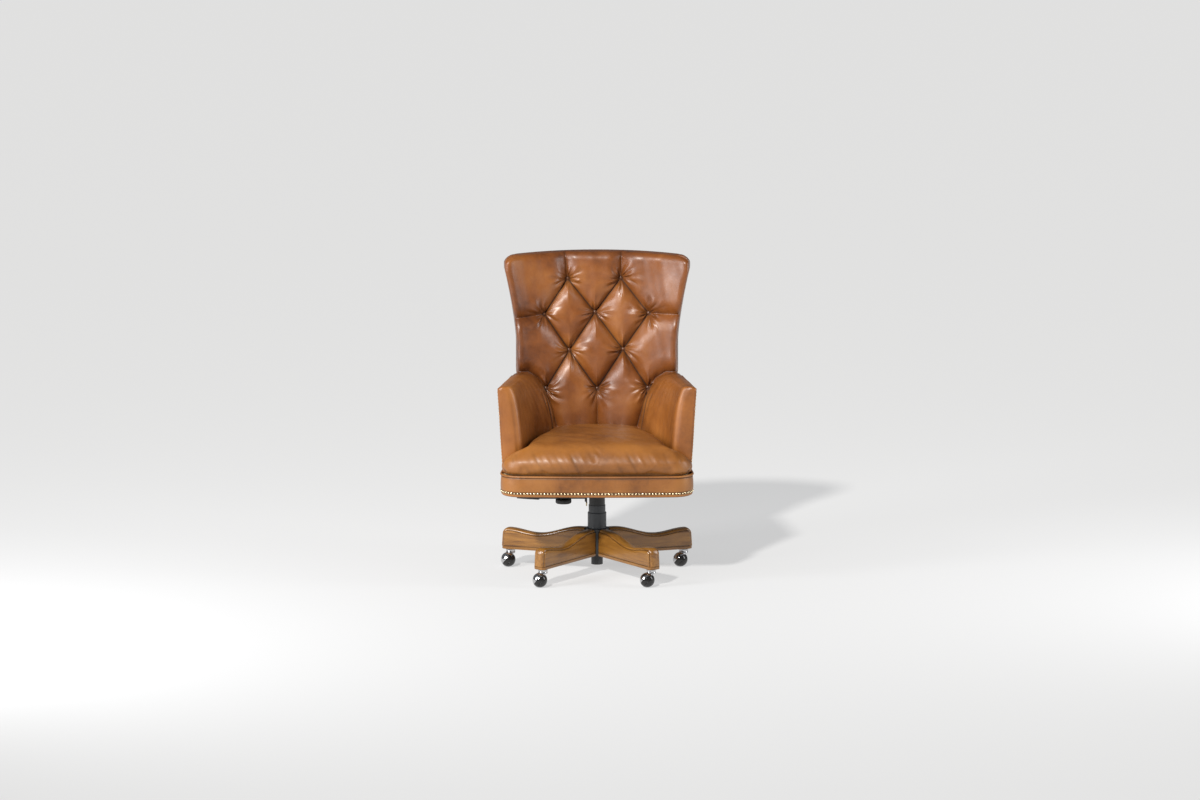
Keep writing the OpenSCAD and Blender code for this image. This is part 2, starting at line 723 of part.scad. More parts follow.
module rail_ring(z, h, from_inset, to_inset) {
    translate([0, 0, z]) linear_extrude(h) difference() {
        polygon(rail_outline(from_inset));
        polygon(rail_outline(to_inset));
    }
}
module seat_frame() {
    deck_z = rail_top - deck_t;
    color("burlywood") difference() {
        union() {
            rail_ring(frame_z, deck_z - frame_z, band_t, band_t + frame_wall);
            intersection() {
                translate([0, 0, frame_z]) linear_extrude(cross_rail_h) polygon(rail_outline(band_t + 1));
                for (y = plate_bolt_y) translate([-half_front, y - cross_rail_w / 2, frame_z])
                    cube([2 * half_front, cross_rail_w, cross_rail_h]);
            }
        }
        for (side = [-1, 1], y = plate_bolt_y) translate([side * plate_bolt_x, y, frame_z - 1])
            cylinder(h = 29, r = plate_bolt_r);
    }
}
module seat_deck() {
    color("tan") translate([0, 0, rail_top - deck_t]) linear_extrude(deck_t) polygon(rail_outline(band_t));
}
module dust_cover() {
    color([0.1, 0.1, 0.1]) translate([0, 0, frame_z - 1]) linear_extrude(1) difference() {
        polygon(rail_outline(band_t));
        translate([-plate_half - 1, plate_front - 1])
            square([2 * plate_half + 2, plate_rear - plate_front + 2]);
    }
}
module rail_band() {
    color("peru") rail_ring(rail_bottom, rail_h, 0, band_t);
}
module rail_nails() {
    half = rail_half(0);
    color("goldenrod") for (side = [0, 1]) mirror([side, 0, 0])
        for (spot = spaced(half, nail_pitch))
            translate([spot[0].x, spot[0].y, rail_bottom + nail_row])
                rotate([90, 0, atan2(spot[1].y, spot[1].x)]) nail_head();
}
module seat_welt() {
    path = [for (p = rail_outline(1)) [p.x, p.y, rail_top + welt_r]];
    color("saddlebrown") cord_along(path, welt_r, true);
}
function cushion_half() =
    let (
        inset = leather_inset,
        notch_y = arm_front_y - soft_gap,
        front = [for (p = rail_half(inset)) if (p.y < notch_y) p],
        side = rail_side_x(notch_y, inset),
        // Beside an arm: the nearer of its inner face at the cushion's foot and at its top
        along = [for (k = [0:arm_rows])
            let (low = arm_point(0, k / arm_rows, 0), high = arm_point(0, k / arm_rows, cushion_h / arm_h))
            [min(low.x, high.x) - soft_gap, k == 0 ? notch_y : min(low.y, high.y)]],
        end_x = along[arm_rows].x
    )
    concat(front, [[side, notch_y]], along,
        [for (k = [1:8]) let (x = end_x * (1 - k / 8)) [x, back_face(x, rail_top) - soft_gap]]);
module seat_cushion() {
    half = cushion_half();
    color("peru") intersection() {
        translate([0, 0, rail_top]) linear_extrude(cushion_h + 10)
            polygon(concat(half, flip_x(without_first(half))));
        translate([0, -20, seat_top - crown_r]) sphere(crown_r, $fn = 240);
    }
}

// ---- back ------------------------------------------------------------------------------

module back_board(left, right, low, high, skin) {
    near = back_pad_t + skin;
    far = back_pad_t + back_frame_t - skin;
    rows = max(2, ceil((high - low) / 90));
    loft([for (k = [0:rows]) back_ring(mix(low, high, k / rows), near, far, left, right,
                                       right - left > 1 ? 2 * board_columns : board_columns)]);
}
module back_frame() {
    share = 1 - 2 * back_board_w / waist_w;
    rail_share = share - 2 * joint_gap / waist_w;
    top = back_top - back_corner_r;
    color("burlywood") {
        back_board(-0.99, -share, rail_top, top, joint_gap);
        back_board(share, 0.99, rail_top, top, joint_gap);
        for (low = [rail_top + joint_gap, rail_top + button_first, top - back_board_w - joint_gap])
            back_board(-rail_share, rail_share, low, low + back_board_w, joint_gap);
    }
}
module back_pad() {
    color("sienna") back_layer(0, back_pad_t);
}
module back_panel() {
    color("peru") back_layer(back_pad_t + back_frame_t, back_t);
}
module back_buttons() {
    color("saddlebrown") for (row = [0:3], k = (row % 2 == 0 ? [-2, 0, 2] : [-1, 1])) {
        x = k * button_step;
        z = rail_top + button_first + row * button_rise;
        standing_on([x, back_face(x, z), z], -back_normal(x, z), nail_lift)
            cylinder(h = 4.5, r = button_r, $fn = 32);
    }
}
module back_welt() {
    r = 3;
    off = r + 0.7;
    y_off = back_pad_t + back_frame_t;
    rise = [for (z = back_levels)
        let (a = asin(max(z - back_top + back_corner_r, 0) / back_corner_r), x = back_half_w(z))
        [x + off * cos(a), back_face(x, z) + y_off, z + off * sin(a)]];
    end = back_half_w(back_levels[len(back_levels) - 1]);
    over = [for (k = [1:11]) let (x = end * (1 - k / 6))
        [x, back_face(x, back_top) + y_off, back_top + off]];
    left = [for (i = [len(rise) - 1:-1:0]) [-rise[i].x, rise[i].y, rise[i].z]];
    color("saddlebrown") cord_along(concat(rise, over, left), r, false);
}
module back_nails() {
    inset = 12;
    low = rail_top + 12;
    high = back_top - back_corner_r;
    side = [for (k = [0:12]) let (z = mix(low, high, k / 12), x = back_half_w(z) - inset)
        [x, back_face(x, z) + back_t, z]];
    top_x = back_half_w(high) - inset;
    top_z = back_top - inset;
    top = [for (k = [0:28]) let (x = mix(-top_x + 8, top_x - 8, k / 28))
        [x, back_face(x, top_z) + back_t, top_z]];
    color("goldenrod") {
        for (flip = [0, 1]) mirror([flip, 0, 0]) for (spot = spaced(side, nail_pitch))
            standing_on(spot[0], back_normal(spot[0].x, spot[0].z), nail_lift) nail_head();
        for (spot = spaced(top, nail_pitch))
            standing_on(spot[0], back_normal(spot[0].x, spot[0].z), nail_lift) nail_head();
    }
}

// ---- arms ------------------------------------------------------------------------------

module arm_frame() {
    near = pad_share + 0.01;
    far = panel_share - 0.01;
    color("burlywood") {
        arm_layer(front_s + 0.01, 0.99, near, far, 0.8, cap_rise - 0.003);
        arm_layer(front_s + 0.01, 0.99, near, far, 0, 0.1);
        arm_layer(front_s + 0.02, post_s, near + 0.03, far - 0.03, 0.05, 0.85);
    }
}
module arm_pad() {
    color("peru") {
        arm_loft(0, 1, [[pad_share, 0], [pad_share, cap_rise], [panel_share, cap_rise],
                        [panel_share, 1], [0, 1], [0, 0]]);
        arm_layer(0.002, front_s, pad_share - 0.05, panel_share - 0.02, 0, cap_rise + 0.01);
    }
}
module arm_panel() {
    near = panel_share + joint_gap / arm_t;
    color("peru") arm_loft(0, panel_end, [[1, 0], [1, cap_rise], [1, 1],
                                          [near, 1], [near, cap_rise], [near, 0]]);
}
module arm_nails() {
    up = [for (k = [0:8]) arm_point(1, 0.03, mix(0.06, 0.97, k / 8))];
    along = [for (k = [0:8]) arm_point(1, mix(0.06, 0.97, k / 8), 0.97)];
    color("goldenrod") for (side = [0, 1]) mirror([side, 0, 0])
        for (path = [up, along], spot = spaced(path, nail_pitch))
            standing_on(spot[0], arm_normal(spot[0].y, arm_rise(spot[0].z)), nail_lift) nail_head();
}

// ---- nodes -----------------------------------------------------------------------------

base_hub();
leg(0);  // leg_1
leg(1);  // leg_2
leg(2);  // leg_3
leg(3);  // leg_4
leg(4);  // leg_5
leg_bolts();
caster_sockets();
lift_outer_tube();
guide_bush();
thrust_bearing();
lower_cover();
middle_cover();
piston_rod();
retaining_clip();
pressure_tube();
upper_cover();
mechanism_housing();
pivot_shaft();
tilt_springs();
valve_button();
lever_rod();
lever_grip();
lever_pin();
tension_knob();
tension_screw();
seat_plate();
plate_bolts();
seat_frame();
seat_deck();
dust_cover();
rail_band();
rail_nails();
seat_welt();
seat_cushion();
back_frame();
back_pad();
back_buttons();
back_panel();
back_welt();
back_nails();
arm_frame();  // arm_frame_right
mirror([1, 0, 0]) arm_frame();  // arm_frame_left
arm_pad();  // arm_pad_right
mirror([1, 0, 0]) arm_pad();  // arm_pad_left
arm_panel();  // arm_panel_right
mirror([1, 0, 0]) arm_panel();  // arm_panel_left
arm_nails();
caster_hood(0);  // caster_hood_1
caster_hood(1);  // caster_hood_2
caster_hood(2);  // caster_hood_3
caster_hood(3);  // caster_hood_4
caster_hood(4);  // caster_hood_5
caster_wheel(0);  // caster_wheel_1
caster_wheel(1);  // caster_wheel_2
caster_wheel(2);  // caster_wheel_3
caster_wheel(3);  // caster_wheel_4
caster_wheel(4);  // caster_wheel_5
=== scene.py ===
"""Looks of the swivel office chair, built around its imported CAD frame.

Metres, in the frame's own axes: origin on the floor under the swivel axis, +Z up, front of the seat
towards -Y. Soft parts, nails, legs, casters and covers are new meshes that replace plain CAD solids;
the other CAD nodes stay and get procedural materials.
"""
import json
import math

import bmesh
import bpy
import numpy as np
from mathutils import Matrix, Vector


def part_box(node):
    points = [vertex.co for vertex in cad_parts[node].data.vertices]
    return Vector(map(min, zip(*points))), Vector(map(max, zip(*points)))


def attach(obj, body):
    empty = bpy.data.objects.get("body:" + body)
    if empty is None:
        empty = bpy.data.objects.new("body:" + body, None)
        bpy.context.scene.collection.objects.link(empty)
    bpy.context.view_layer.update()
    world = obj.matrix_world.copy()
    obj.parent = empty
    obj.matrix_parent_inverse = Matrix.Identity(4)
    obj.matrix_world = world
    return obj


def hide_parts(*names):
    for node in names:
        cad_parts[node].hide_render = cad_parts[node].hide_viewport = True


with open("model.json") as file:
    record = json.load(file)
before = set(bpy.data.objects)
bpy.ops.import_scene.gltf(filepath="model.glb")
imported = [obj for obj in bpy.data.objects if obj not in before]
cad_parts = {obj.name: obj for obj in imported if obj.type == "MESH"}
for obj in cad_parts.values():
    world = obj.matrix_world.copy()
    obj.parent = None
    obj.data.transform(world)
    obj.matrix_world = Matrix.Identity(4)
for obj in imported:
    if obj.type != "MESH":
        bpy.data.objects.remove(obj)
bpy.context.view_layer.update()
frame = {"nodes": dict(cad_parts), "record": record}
TAU = 2 * math.pi

# ---- sizes ----------------------------------------------------------------------------
# Rail and seat
RAIL_LOW, RAIL_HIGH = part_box("rail_band")
RAIL_BOTTOM = RAIL_LOW.z
RAIL_TOP = RAIL_HIGH.z
SEAT_FRONT = 0.290
HALF_FRONT = 0.341
HALF_REAR = 0.296
RAIL_REAR = RAIL_HIGH.y
FRONT_BOW = -RAIL_LOW.y - SEAT_FRONT
FRONT_CORNER = 0.072
REAR_CORNER = 0.048
TAPER = math.atan((HALF_FRONT - HALF_REAR) / (SEAT_FRONT + RAIL_REAR))
LEATHER_INSET = 0.006
SEAT_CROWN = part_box("seat_cushion")[1].z
# Back
BACK_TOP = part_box("back_pad")[1].z
BACK_IN_Y = 0.178
SEAT_TOP = RAIL_TOP + 0.110
RAKE = math.tan(math.radians(8))
WRAP = 0.072
WRAP_POWER = 2.2
PAD_RISE = 0.011
WAIST_W = 0.564
WAIST_Z = RAIL_TOP + 0.400
BACK_FLARE = 0.042
BACK_CORNER = 0.028
BACK_TUCK = 0.014
PAD_T = 0.068
FRAME_T = 0.027
PANEL_T = 0.004
# Arms
ARM_H = 0.304
ARM_FRONT_Y = -0.198
ARM_FLARE = 0.019
ARM_PINCH = 0.008
# Buttons as (x, z), given one by one and so a little uneven
BUTTONS = {"a1": (-0.104, 1.005), "a2": (0.084, 1.006), "b1": (-0.187, 0.883), "b2": (-0.007, 0.885),
           "b3": (0.182, 0.886), "c1": (-0.098, 0.753), "c2": (0.092, 0.756), "d1": (-0.180, 0.623),
           "d2": (0.001, 0.617), "d3": (0.179, 0.625)}
BUTTON_R = 0.0075
NAIL_R = 0.0040
NAIL_PITCH = 0.0118
NAIL_ROW = 0.014
# Base
LEG_COUNT = 5
FIRST_LEG = math.radians(-54)
LEG_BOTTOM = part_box("leg_1")[0].z
HUB_R = 0.041
BASE_R = 0.352
LEG_W = 0.046
LEG_HUB_H = 0.094
LEG_WAIST_H = 0.062
LEG_TIP_H = 0.075
STEM_AT = BASE_R - 0.030
BALL_R = 0.026
CASTER_TRAIL = 0.021
TRAIL_ANGLES = [math.radians(a) for a in (229, 237, 240, 247, 241)]
AXLE_TILT = math.radians(45)


# ---- small tools ----------------------------------------------------------------------
def mix(a, b, t):
    return a + (b - a) * t


def ease(t):
    t = np.clip(t, 0, 1)
    return (1 - np.cos(math.pi * t)) / 2


def waves(points, scales, seed, amplitude=1.0):
    """Smooth seeded ripples: a sum of sines in random directions, one for each wavelength."""
    rng = np.random.default_rng(seed)
    total = np.zeros(len(points))
    for wavelength in scales:
        direction = rng.normal(size=points.shape[1])
        direction /= np.linalg.norm(direction)
        total += np.sin(points @ direction * TAU / wavelength + rng.uniform(0, TAU))
    return amplitude * total / len(scales)


def grid_faces(rows, cols, closed=False, start=0):
    """Quads of a grid of rows by cols points, whose columns may close on themselves."""
    faces = []
    for i in range(rows - 1):
        for j in range(cols if closed else cols - 1):
            k = (j + 1) % cols
            a, b = start + i * cols, start + (i + 1) * cols
            faces.append((a + j, a + k, b + k, b + j))
    return faces


def add_mesh(name, points, faces, material, body, stands_for=(), attributes=None, merge=0.0):
    """A mesh object that rides on a body and may stand for CAD nodes."""
    mesh = bpy.data.meshes.new(name)
    mesh.from_pydata([tuple(p) for p in np.asarray(points, float)], [], faces)
    for key, values in (attributes or {}).items():
        values = np.asarray(values, np.float32)
        kind = "FLOAT_VECTOR" if values.ndim == 2 else "FLOAT"
        layer = mesh.attributes.new(key, kind, "POINT")
        layer.data.foreach_set("vector" if values.ndim == 2 else "value", values.ravel())
    clean(mesh, merge)
    mesh.polygons.foreach_set("use_smooth", [True] * len(mesh.polygons))
    mesh.materials.append(material)
    piece = bpy.data.objects.new(name, mesh)
    bpy.context.scene.collection.objects.link(piece)
    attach(piece, body)
    if stands_for:
        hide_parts(*stands_for)
    return piece


def clean(mesh, merge):
    """Merges doubled points and turns all faces outwards."""
    bm = bmesh.new()
    bm.from_mesh(mesh)
    if merge:
        bmesh.ops.remove_doubles(bm, verts=bm.verts, dist=merge)
        bmesh.ops.dissolve_degenerate(bm, dist=merge / 2, edges=bm.edges)
    bmesh.ops.recalc_face_normals(bm, faces=bm.faces)
    bm.to_mesh(mesh)
    bm.free()


def apply_modifiers(piece):
    bpy.context.view_layer.objects.active = piece
    piece.select_set(True)
    for modifier in list(piece.modifiers):
        bpy.ops.object.modifier_apply(modifier=modifier.name)
    piece.select_set(False)


def get_points(piece):
    co = np.zeros(len(piece.data.vertices) * 3, np.float64)
    piece.data.vertices.foreach_get("co", co)
    return co.reshape(-1, 3)


def set_points(piece, points):
    piece.data.vertices.foreach_set("co", np.ascontiguousarray(points, float).ravel())
    piece.data.update()


def set_attribute(piece, key, values):
    layer = piece.data.attributes.get(key) or piece.data.attributes.new(key, "FLOAT", "POINT")
    layer.data.foreach_set("value", np.asarray(values, np.float32))


def lathe(profile, segments, matrix=Matrix.Identity(4)):
    """Points and faces of a profile of (radius, height) turned about +Z; ends on the axis close."""
    points = np.array([(r * math.cos(a), r * math.sin(a), z) for r, z in profile
                       for a in TAU * np.arange(segments) / segments])
    return transform(points, matrix), grid_faces(len(profile), segments, closed=True)


def arc(radius, start, end, count, centre=(0, 0)):
    """Points on an arc, with angles in degrees from the first axis."""
    return [(centre[0] + radius * math.cos(math.radians(a)), centre[1] + radius * math.sin(math.radians(a)))
            for a in np.linspace(start, end, count)]


def transform(points, matrix):
    m = np.array(matrix)
    return points @ m[:3, :3].T + m[:3, 3]


def join(parts):
    """One list of points and faces from several."""
    points, faces, base = [], [], 0
    for p, f in parts:
        points.append(np.asarray(p, float))
        faces += [tuple(base + i for i in face) for face in f]
        base += len(p)
    return np.vstack(points), faces


def sweep(path, section, up=(0, 0, 1), closed=False):
    """A closed section of (side, lift) pairs carried along a path, lifted roughly towards `up`."""
    tangent = np.roll(path, -1, 0) - np.roll(path, 1, 0) if closed else np.gradient(path, axis=0)
    tangent /= np.linalg.norm(tangent, axis=1)[:, None]
    side = np.cross(tangent, np.broadcast_to(up, path.shape))
    side /= np.linalg.norm(side, axis=1)[:, None]
    lift = np.cross(side, tangent)
    section = np.asarray(section, float)
    points = (path[:, None, :] + side[:, None, :] * section[None, :, :1]
              + lift[:, None, :] * section[None, :, 1:]).reshape(-1, 3)
    rows, cols = len(path), len(section)
    faces = grid_faces(rows, cols, closed=True)
    if closed:
        faces += [((rows - 1) * cols + j, (rows - 1) * cols + (j + 1) % cols, (j + 1) % cols, j)
                  for j in range(cols)]
    else:
        faces += [tuple(range(cols)), tuple((rows - 1) * cols + j for j in reversed(range(cols)))]
    return points, faces


def circle(r, n):
    return [(r * math.cos(TAU * k / n), r * math.sin(TAU * k / n)) for k in range(n)]


def thicken(outer, thickness, rows, cols):
    """Closes a grid of points into a board whose other face lies `thickness` behind it."""
    n = rows * cols
    faces = grid_faces(rows, cols) + [tuple(reversed(f)) for f in grid_faces(rows, cols, start=n)]
    rim = (list(range(cols)) + [i * cols + cols - 1 for i in range(1, rows)]
           + [(rows - 1) * cols + j for j in range(cols - 2, -1, -1)]
           + [i * cols for i in range(rows - 2, 0, -1)])
    faces += [(a, b, n + b, n + a) for a, b in zip(rim, rim[1:] + rim[:1])]
    return np.vstack([outer, outer - np.array(thickness)]), faces


def resample(path, step):
    """Points every `step` along a path, spread evenly, with the direction of travel at each."""
    s = np.r_[0, np.cumsum(np.linalg.norm(np.diff(path, axis=0), axis=1))]
    count = max(2, int(round(s[-1] / step)))
    middles = (np.arange(count) + 0.5) * s[-1] / count

    def on_path(at):
        return np.stack([np.interp(at, s, values) for values in path.T], 1)

    return on_path(middles), on_path(middles + 1e-3) - on_path(middles - 1e-3)


# ---- materials ------------------------------------------------------------------------
class Nodes:
    """A short way to write a material's node tree."""

    def __init__(self, name):
        self.material = bpy.data.materials.new(name)
        self.material.use_nodes = True
        self.tree = self.material.node_tree
        self.bsdf = self.tree.nodes["Principled BSDF"]

    def set(self, **values):
        for key, value in values.items():
            self.put(self.bsdf.inputs[key.replace("_", " ")], value)
        return self.material

    def put(self, socket, value):
        if isinstance(value, bpy.types.NodeSocket):
            self.tree.links.new(value, socket)
        else:
            socket.default_value = value

    def add(self, kind, output=0, settings=None, **values):
        node = self.tree.nodes.new("ShaderNode" + kind)
        for key, value in (settings or {}).items():
            setattr(node, key, value)
        for key, value in values.items():
            self.put(node.inputs[int(key[1:]) if key[0] == "i" and key[1:].isdigit() else
                                 key.replace("_", " ")], value)
        return node.outputs[output]

    def place(self):
        return self.add("TexCoord", output=3)

    def attribute(self, name, output=2):
        return self.add("Attribute", output=output, settings={"attribute_name": name})

    def noise(self, vector, scale, detail=3.0, roughness=0.5, distortion=0.0):
        return self.add("TexNoise", Vector=vector, Scale=scale, Detail=detail, Roughness=roughness,
                        Distortion=distortion)

    def stretch(self, vector, scale):
        return self.add("Mapping", Vector=vector, Scale=scale)

    def ramp(self, value, stops):
        output = self.add("ValToRGB", Fac=value)
        ramp = output.node.color_ramp
        while len(ramp.elements) < len(stops):
            ramp.elements.new(0.5)
        for element, (at, colour) in zip(ramp.elements, stops):
            element.position = at
            element.color = (*colour, 1)
        return output

    def grey(self, value, low, high, at=(0.0, 1.0)):
        return self.add("MapRange", Value=value, From_Min=at[0], From_Max=at[1], To_Min=low, To_Max=high)

    def math(self, operation, a, b=0.0):
        return self.add("Math", settings={"operation": operation}, i0=a, i1=b)

    def blend(self, factor, a, b):
        output = self.add("Mix", output=2, settings={"data_type": "RGBA"})
        node = output.node
        self.put(node.inputs[0], factor)
        for socket, value in ((node.inputs[6], a), (node.inputs[7], b)):
            self.put(socket, (*value, 1) if isinstance(value, tuple) else value)
        return output

    def tint(self, tone, mask, amount, colour, at=(0.0, 1.0)):
        """Lays a colour over a tone where the mask is high."""
        return self.blend(self.grey(mask, 0.0, amount, at), tone, colour)

    def bump(self, height, strength, distance, normal=None):
        values = {"Height": height, "Strength": strength, "Distance": distance}
        if normal is not None:
            values["Normal"] = normal
        return self.add("Bump", **values)


def shade(colour, factor):
    return tuple(min(1, c * factor) for c in colour)


def make_leather(name, deep, base, light, roughness=0.40):
    """Aniline leather: cloudy patina, pores, hairline scratches, and painted shade in its folds, seams and
    joints.
    """
    n = Nodes(name)
    at = n.place()
    cloud = n.noise(at, 5.5, 5.0, 0.55, 0.4)
    tone = n.ramp(cloud, [(0.30, deep), (0.50, base), (0.72, light)])
    mottle = n.noise(at, 42.0, 6.0, 0.62, 0.6)
    tone = n.tint(tone, mottle, 0.55, shade(base, 1.28), (0.35, 0.75))
    freckle = n.noise(at, 210.0, 3.0, 0.7)
    tone = n.tint(tone, freckle, 0.30, shade(deep, 0.55), (0.56, 0.80))
    scratch = n.noise(n.stretch(at, (30.0, 240.0, 90.0)), 1.4, 4.0, 0.75, 2.2)
    tone = n.tint(tone, scratch, 0.35, shade(light, 1.9), (0.69, 0.80))
    # painted shade: the colour darkens towards near black in the folds, seams and joints that the mesh marks
    fold = n.attribute("painted_shade")
    tone = n.tint(tone, fold, 0.92, shade(deep, 0.16))
    # painted highlight on the rounded inner edge of the arm fronts; lighter bands on the seat's front roll and
    # the rail's lower edge
    tone = n.tint(tone, n.attribute("lighter_band"), 0.5, shade(light, 1.5))
    shine = n.noise(at, 26.0, 4.0, 0.6)
    rough = n.grey(shine, roughness - 0.07, roughness + 0.11, (0.3, 0.7))
    rough = n.math("MAXIMUM", rough, n.grey(fold, 0.0, 0.9))
    pores = n.add("TexVoronoi", settings={"feature": "F1"}, Vector=at, Scale=620.0, Randomness=1.0)
    wrinkle = n.noise(n.stretch(at, (1.0, 1.0, 0.6)), 130.0, 5.0, 0.6, 1.2)
    relief = n.bump(wrinkle, 0.20, 0.0012)
    relief = n.bump(pores, 0.16, 0.0005, relief)
    return n.set(Base_Color=tone, Roughness=rough, Normal=relief,
                 Specular_IOR_Level=0.5, Coat_Weight=n.grey(fold, 0.12, 0.0), Coat_Roughness=0.28)


def make_wood(name, dark, base, light, coat=0.60, vector="grain"):
    """Lacquered wood whose grain runs along the first coordinate of the `grain` attribute."""
    n = Nodes(name)
    at = n.attribute(vector, output=1) if vector == "grain" else n.place()
    long = n.stretch(at, (4.5, 70.0, 70.0))
    figure = n.noise(long, 1.0, 6.0, 0.62, 1.1)
    tone = n.ramp(figure, [(0.28, dark), (0.48, base), (0.74, light)])
    pores = n.noise(n.stretch(at, (14.0, 620.0, 620.0)), 1.0, 3.0, 0.6)
    tone = n.tint(tone, pores, 0.55, shade(dark, 0.42), (0.56, 0.74))
    cloud = n.noise(at, 11.0, 3.0, 0.5)
    tone = n.tint(tone, cloud, 0.35, shade(light, 1.15), (0.4, 0.7))
    # painted shade in the leg's shoulder groove and where the base strip meets it
    tone = n.tint(tone, n.attribute("painted_shade"), 0.85, shade(dark, 0.40))
    rough = n.grey(figure, 0.30, 0.44, (0.3, 0.7))
    relief = n.bump(pores, 0.12, 0.0004)
    return n.set(Base_Color=tone, Roughness=rough, Normal=relief, Coat_Weight=coat, Coat_Roughness=0.16)


def make_metal(name, colour, roughness, scale=300.0, wear=0.06, metallic=1.0, spots=None):
    """Metal or coated metal with fine wear in its shine; spots is a darker tone that it tarnishes to."""
    n = Nodes(name)
    at = n.place()
    grain = n.noise(at, scale, 4.0, 0.6)
    tone = n.tint(colour, grain, 0.8, spots or shade(colour, 0.82), (0.42, 0.66))
    rough = n.grey(n.noise(at, scale * 0.4, 3.0), roughness - wear, roughness + wear, (0.3, 0.7))
    relief = n.bump(grain, 0.04, 0.0002)
    return n.set(Base_Color=tone, Metallic=metallic, Roughness=rough, Normal=relief)


def make_plastic(name, colour, roughness, grain_scale=900.0, strength=0.10):
    """Moulded plastic with a fine texture and faint handling marks."""
    n = Nodes(name)
    at = n.place()
    shade_marks = n.noise(at, 40.0, 4.0, 0.6)
    tone = n.tint(colour, shade_marks, 0.5, tuple(c * 1.35 + 0.004 for c in colour), (0.4, 0.7))
    rough = n.grey(shade_marks, roughness - 0.05, roughness + 0.08, (0.3, 0.7))
    relief = n.bump(n.noise(at, grain_scale, 2.0), strength, 0.0003)
    return n.set(Base_Color=tone, Roughness=rough, Normal=relief)


def make_cloth(name, colour):
    """Thin woven cloth."""
    n = Nodes(name)
    at = n.place()
    warp, weft = (n.add("TexWave", output=1, settings={"bands_direction": way}, Vector=at, Scale=260.0)
                  for way in "XY")
    weave = n.math("MULTIPLY", warp, weft)
    tone = n.blend(weave, colour, shade(colour, 2.2))
    return n.set(Base_Color=tone, Roughness=0.9, Normal=n.bump(weave, 0.3, 0.0005))


LEATHER = make_leather("leather_tan", (0.115, 0.033, 0.0048), (0.235, 0.078, 0.0130),
                       (0.370, 0.140, 0.030))
LEATHER_SEAT = make_leather("leather_seat", (0.120, 0.037, 0.0050), (0.220, 0.078, 0.0125),
                            (0.330, 0.132, 0.027), roughness=0.45)
# a darker copy of the tan leather: painted shade for the tufted back
LEATHER_BACK_SHADED = make_leather("leather_back_shaded", (0.080, 0.0205, 0.0032), (0.175, 0.052, 0.0088),
                            (0.320, 0.118, 0.0260), roughness=0.37)
LEATHER_DARK = make_leather("leather_dark", (0.050, 0.014, 0.0030), (0.085, 0.026, 0.0055),
                            (0.150, 0.050, 0.012))
WOOD = make_wood("honey_wood", (0.085, 0.027, 0.0030), (0.200, 0.082, 0.0100), (0.300, 0.134, 0.022))
FRAME_WOOD = make_wood("frame_wood", (0.40, 0.26, 0.13), (0.55, 0.40, 0.22), (0.66, 0.51, 0.31),
                       0.0, "object")
BRASS = make_metal("antique_brass", (0.86, 0.72, 0.46), 0.24, 420.0, 0.06, spots=(0.56, 0.42, 0.22))
CHROME = make_metal("chrome", (0.60, 0.60, 0.61), 0.12, 260.0, 0.03)
STEEL = make_metal("steel", (0.55, 0.55, 0.56), 0.30, 500.0, 0.08)
BLACK_STEEL = make_metal("black_steel", (0.018, 0.018, 0.019), 0.42, 350.0, 0.08, metallic=0.0)
BLACK_PLASTIC = make_plastic("black_plastic", (0.014, 0.0135, 0.013), 0.42)
COVER_PLASTIC = make_plastic("cover_plastic", (0.036, 0.039, 0.043), 0.40)
WHEEL_PLASTIC = make_plastic("wheel_plastic", (0.010, 0.009, 0.0085), 0.16, 500.0, 0.03)
BUSH_PLASTIC = make_plastic("bush_plastic", (0.62, 0.59, 0.50), 0.45)
CLOTH = make_cloth("dust_cloth", (0.012, 0.012, 0.012))

SLOT_MATERIALS = {
    "wood": WOOD, "frame_wood": FRAME_WOOD, "leather": LEATHER, "leather_dark": LEATHER_DARK,
    "brass": BRASS, "chrome": CHROME, "steel": STEEL, "black_steel": BLACK_STEEL,
    "black_plastic": BLACK_PLASTIC, "cover_plastic": COVER_PLASTIC, "wheel_plastic": WHEEL_PLASTIC,
    "bush_plastic": BUSH_PLASTIC, "cloth": CLOTH,
}


def dress_cad_nodes():
    """Gives each CAD node the procedural material of its slot."""
    slots = {s["node"]: s["material_slot"] for s in frame["record"]["subparts"]}
    for name, node in frame["nodes"].items():
        material = SLOT_MATERIALS[slots[name]]
        if node.material_slots:
            for slot in node.material_slots:
                slot.material = material
        else:
            node.data.materials.append(material)


# ---- shared outlines ------------------------------------------------------------------
def rail_half(inset, fine=1):
    """Half of the rail's plan, from the middle of the front to the middle of the back."""
    front_c = np.array([HALF_FRONT - FRONT_CORNER * (1 + math.sin(TAPER)) / math.cos(TAPER),
                        FRONT_CORNER - SEAT_FRONT])
    run = SEAT_FRONT + RAIL_REAR - REAR_CORNER
    rear_c = np.array([HALF_FRONT - (REAR_CORNER + run * math.sin(TAPER)) / math.cos(TAPER),
                       RAIL_REAR - REAR_CORNER])
    points = [(front_c[0] * t, inset - SEAT_FRONT - FRONT_BOW * (1 - t * t))
              for t in np.linspace(0, 1, 12 * fine, endpoint=False)]
    points += arc(FRONT_CORNER - inset, -90, math.degrees(TAPER), 10 * fine, front_c)
    side_end = rear_c + (REAR_CORNER - inset) * np.array([math.cos(TAPER), math.sin(TAPER)])
    side_start = np.array(points[-1])
    points += [tuple(mix(side_start, side_end, t)) for t in np.linspace(0, 1, 16 * fine)[1:-1]]
    points += arc(REAR_CORNER - inset, math.degrees(TAPER), 90, 8 * fine, rear_c)
    points += [(rear_c[0] * (1 - t), RAIL_REAR - inset) for t in np.linspace(0, 1, 10 * fine)[1:]]
    return np.array(points)


def rail_outline(inset, fine=1):
    half = rail_half(inset, fine)
    other = half[1:-1][::-1] * np.array([-1, 1])
    return np.vstack([half, other])


def rail_side_x(y, inset):
    return HALF_FRONT - (y + SEAT_FRONT) * math.tan(TAPER) - inset / math.cos(TAPER)


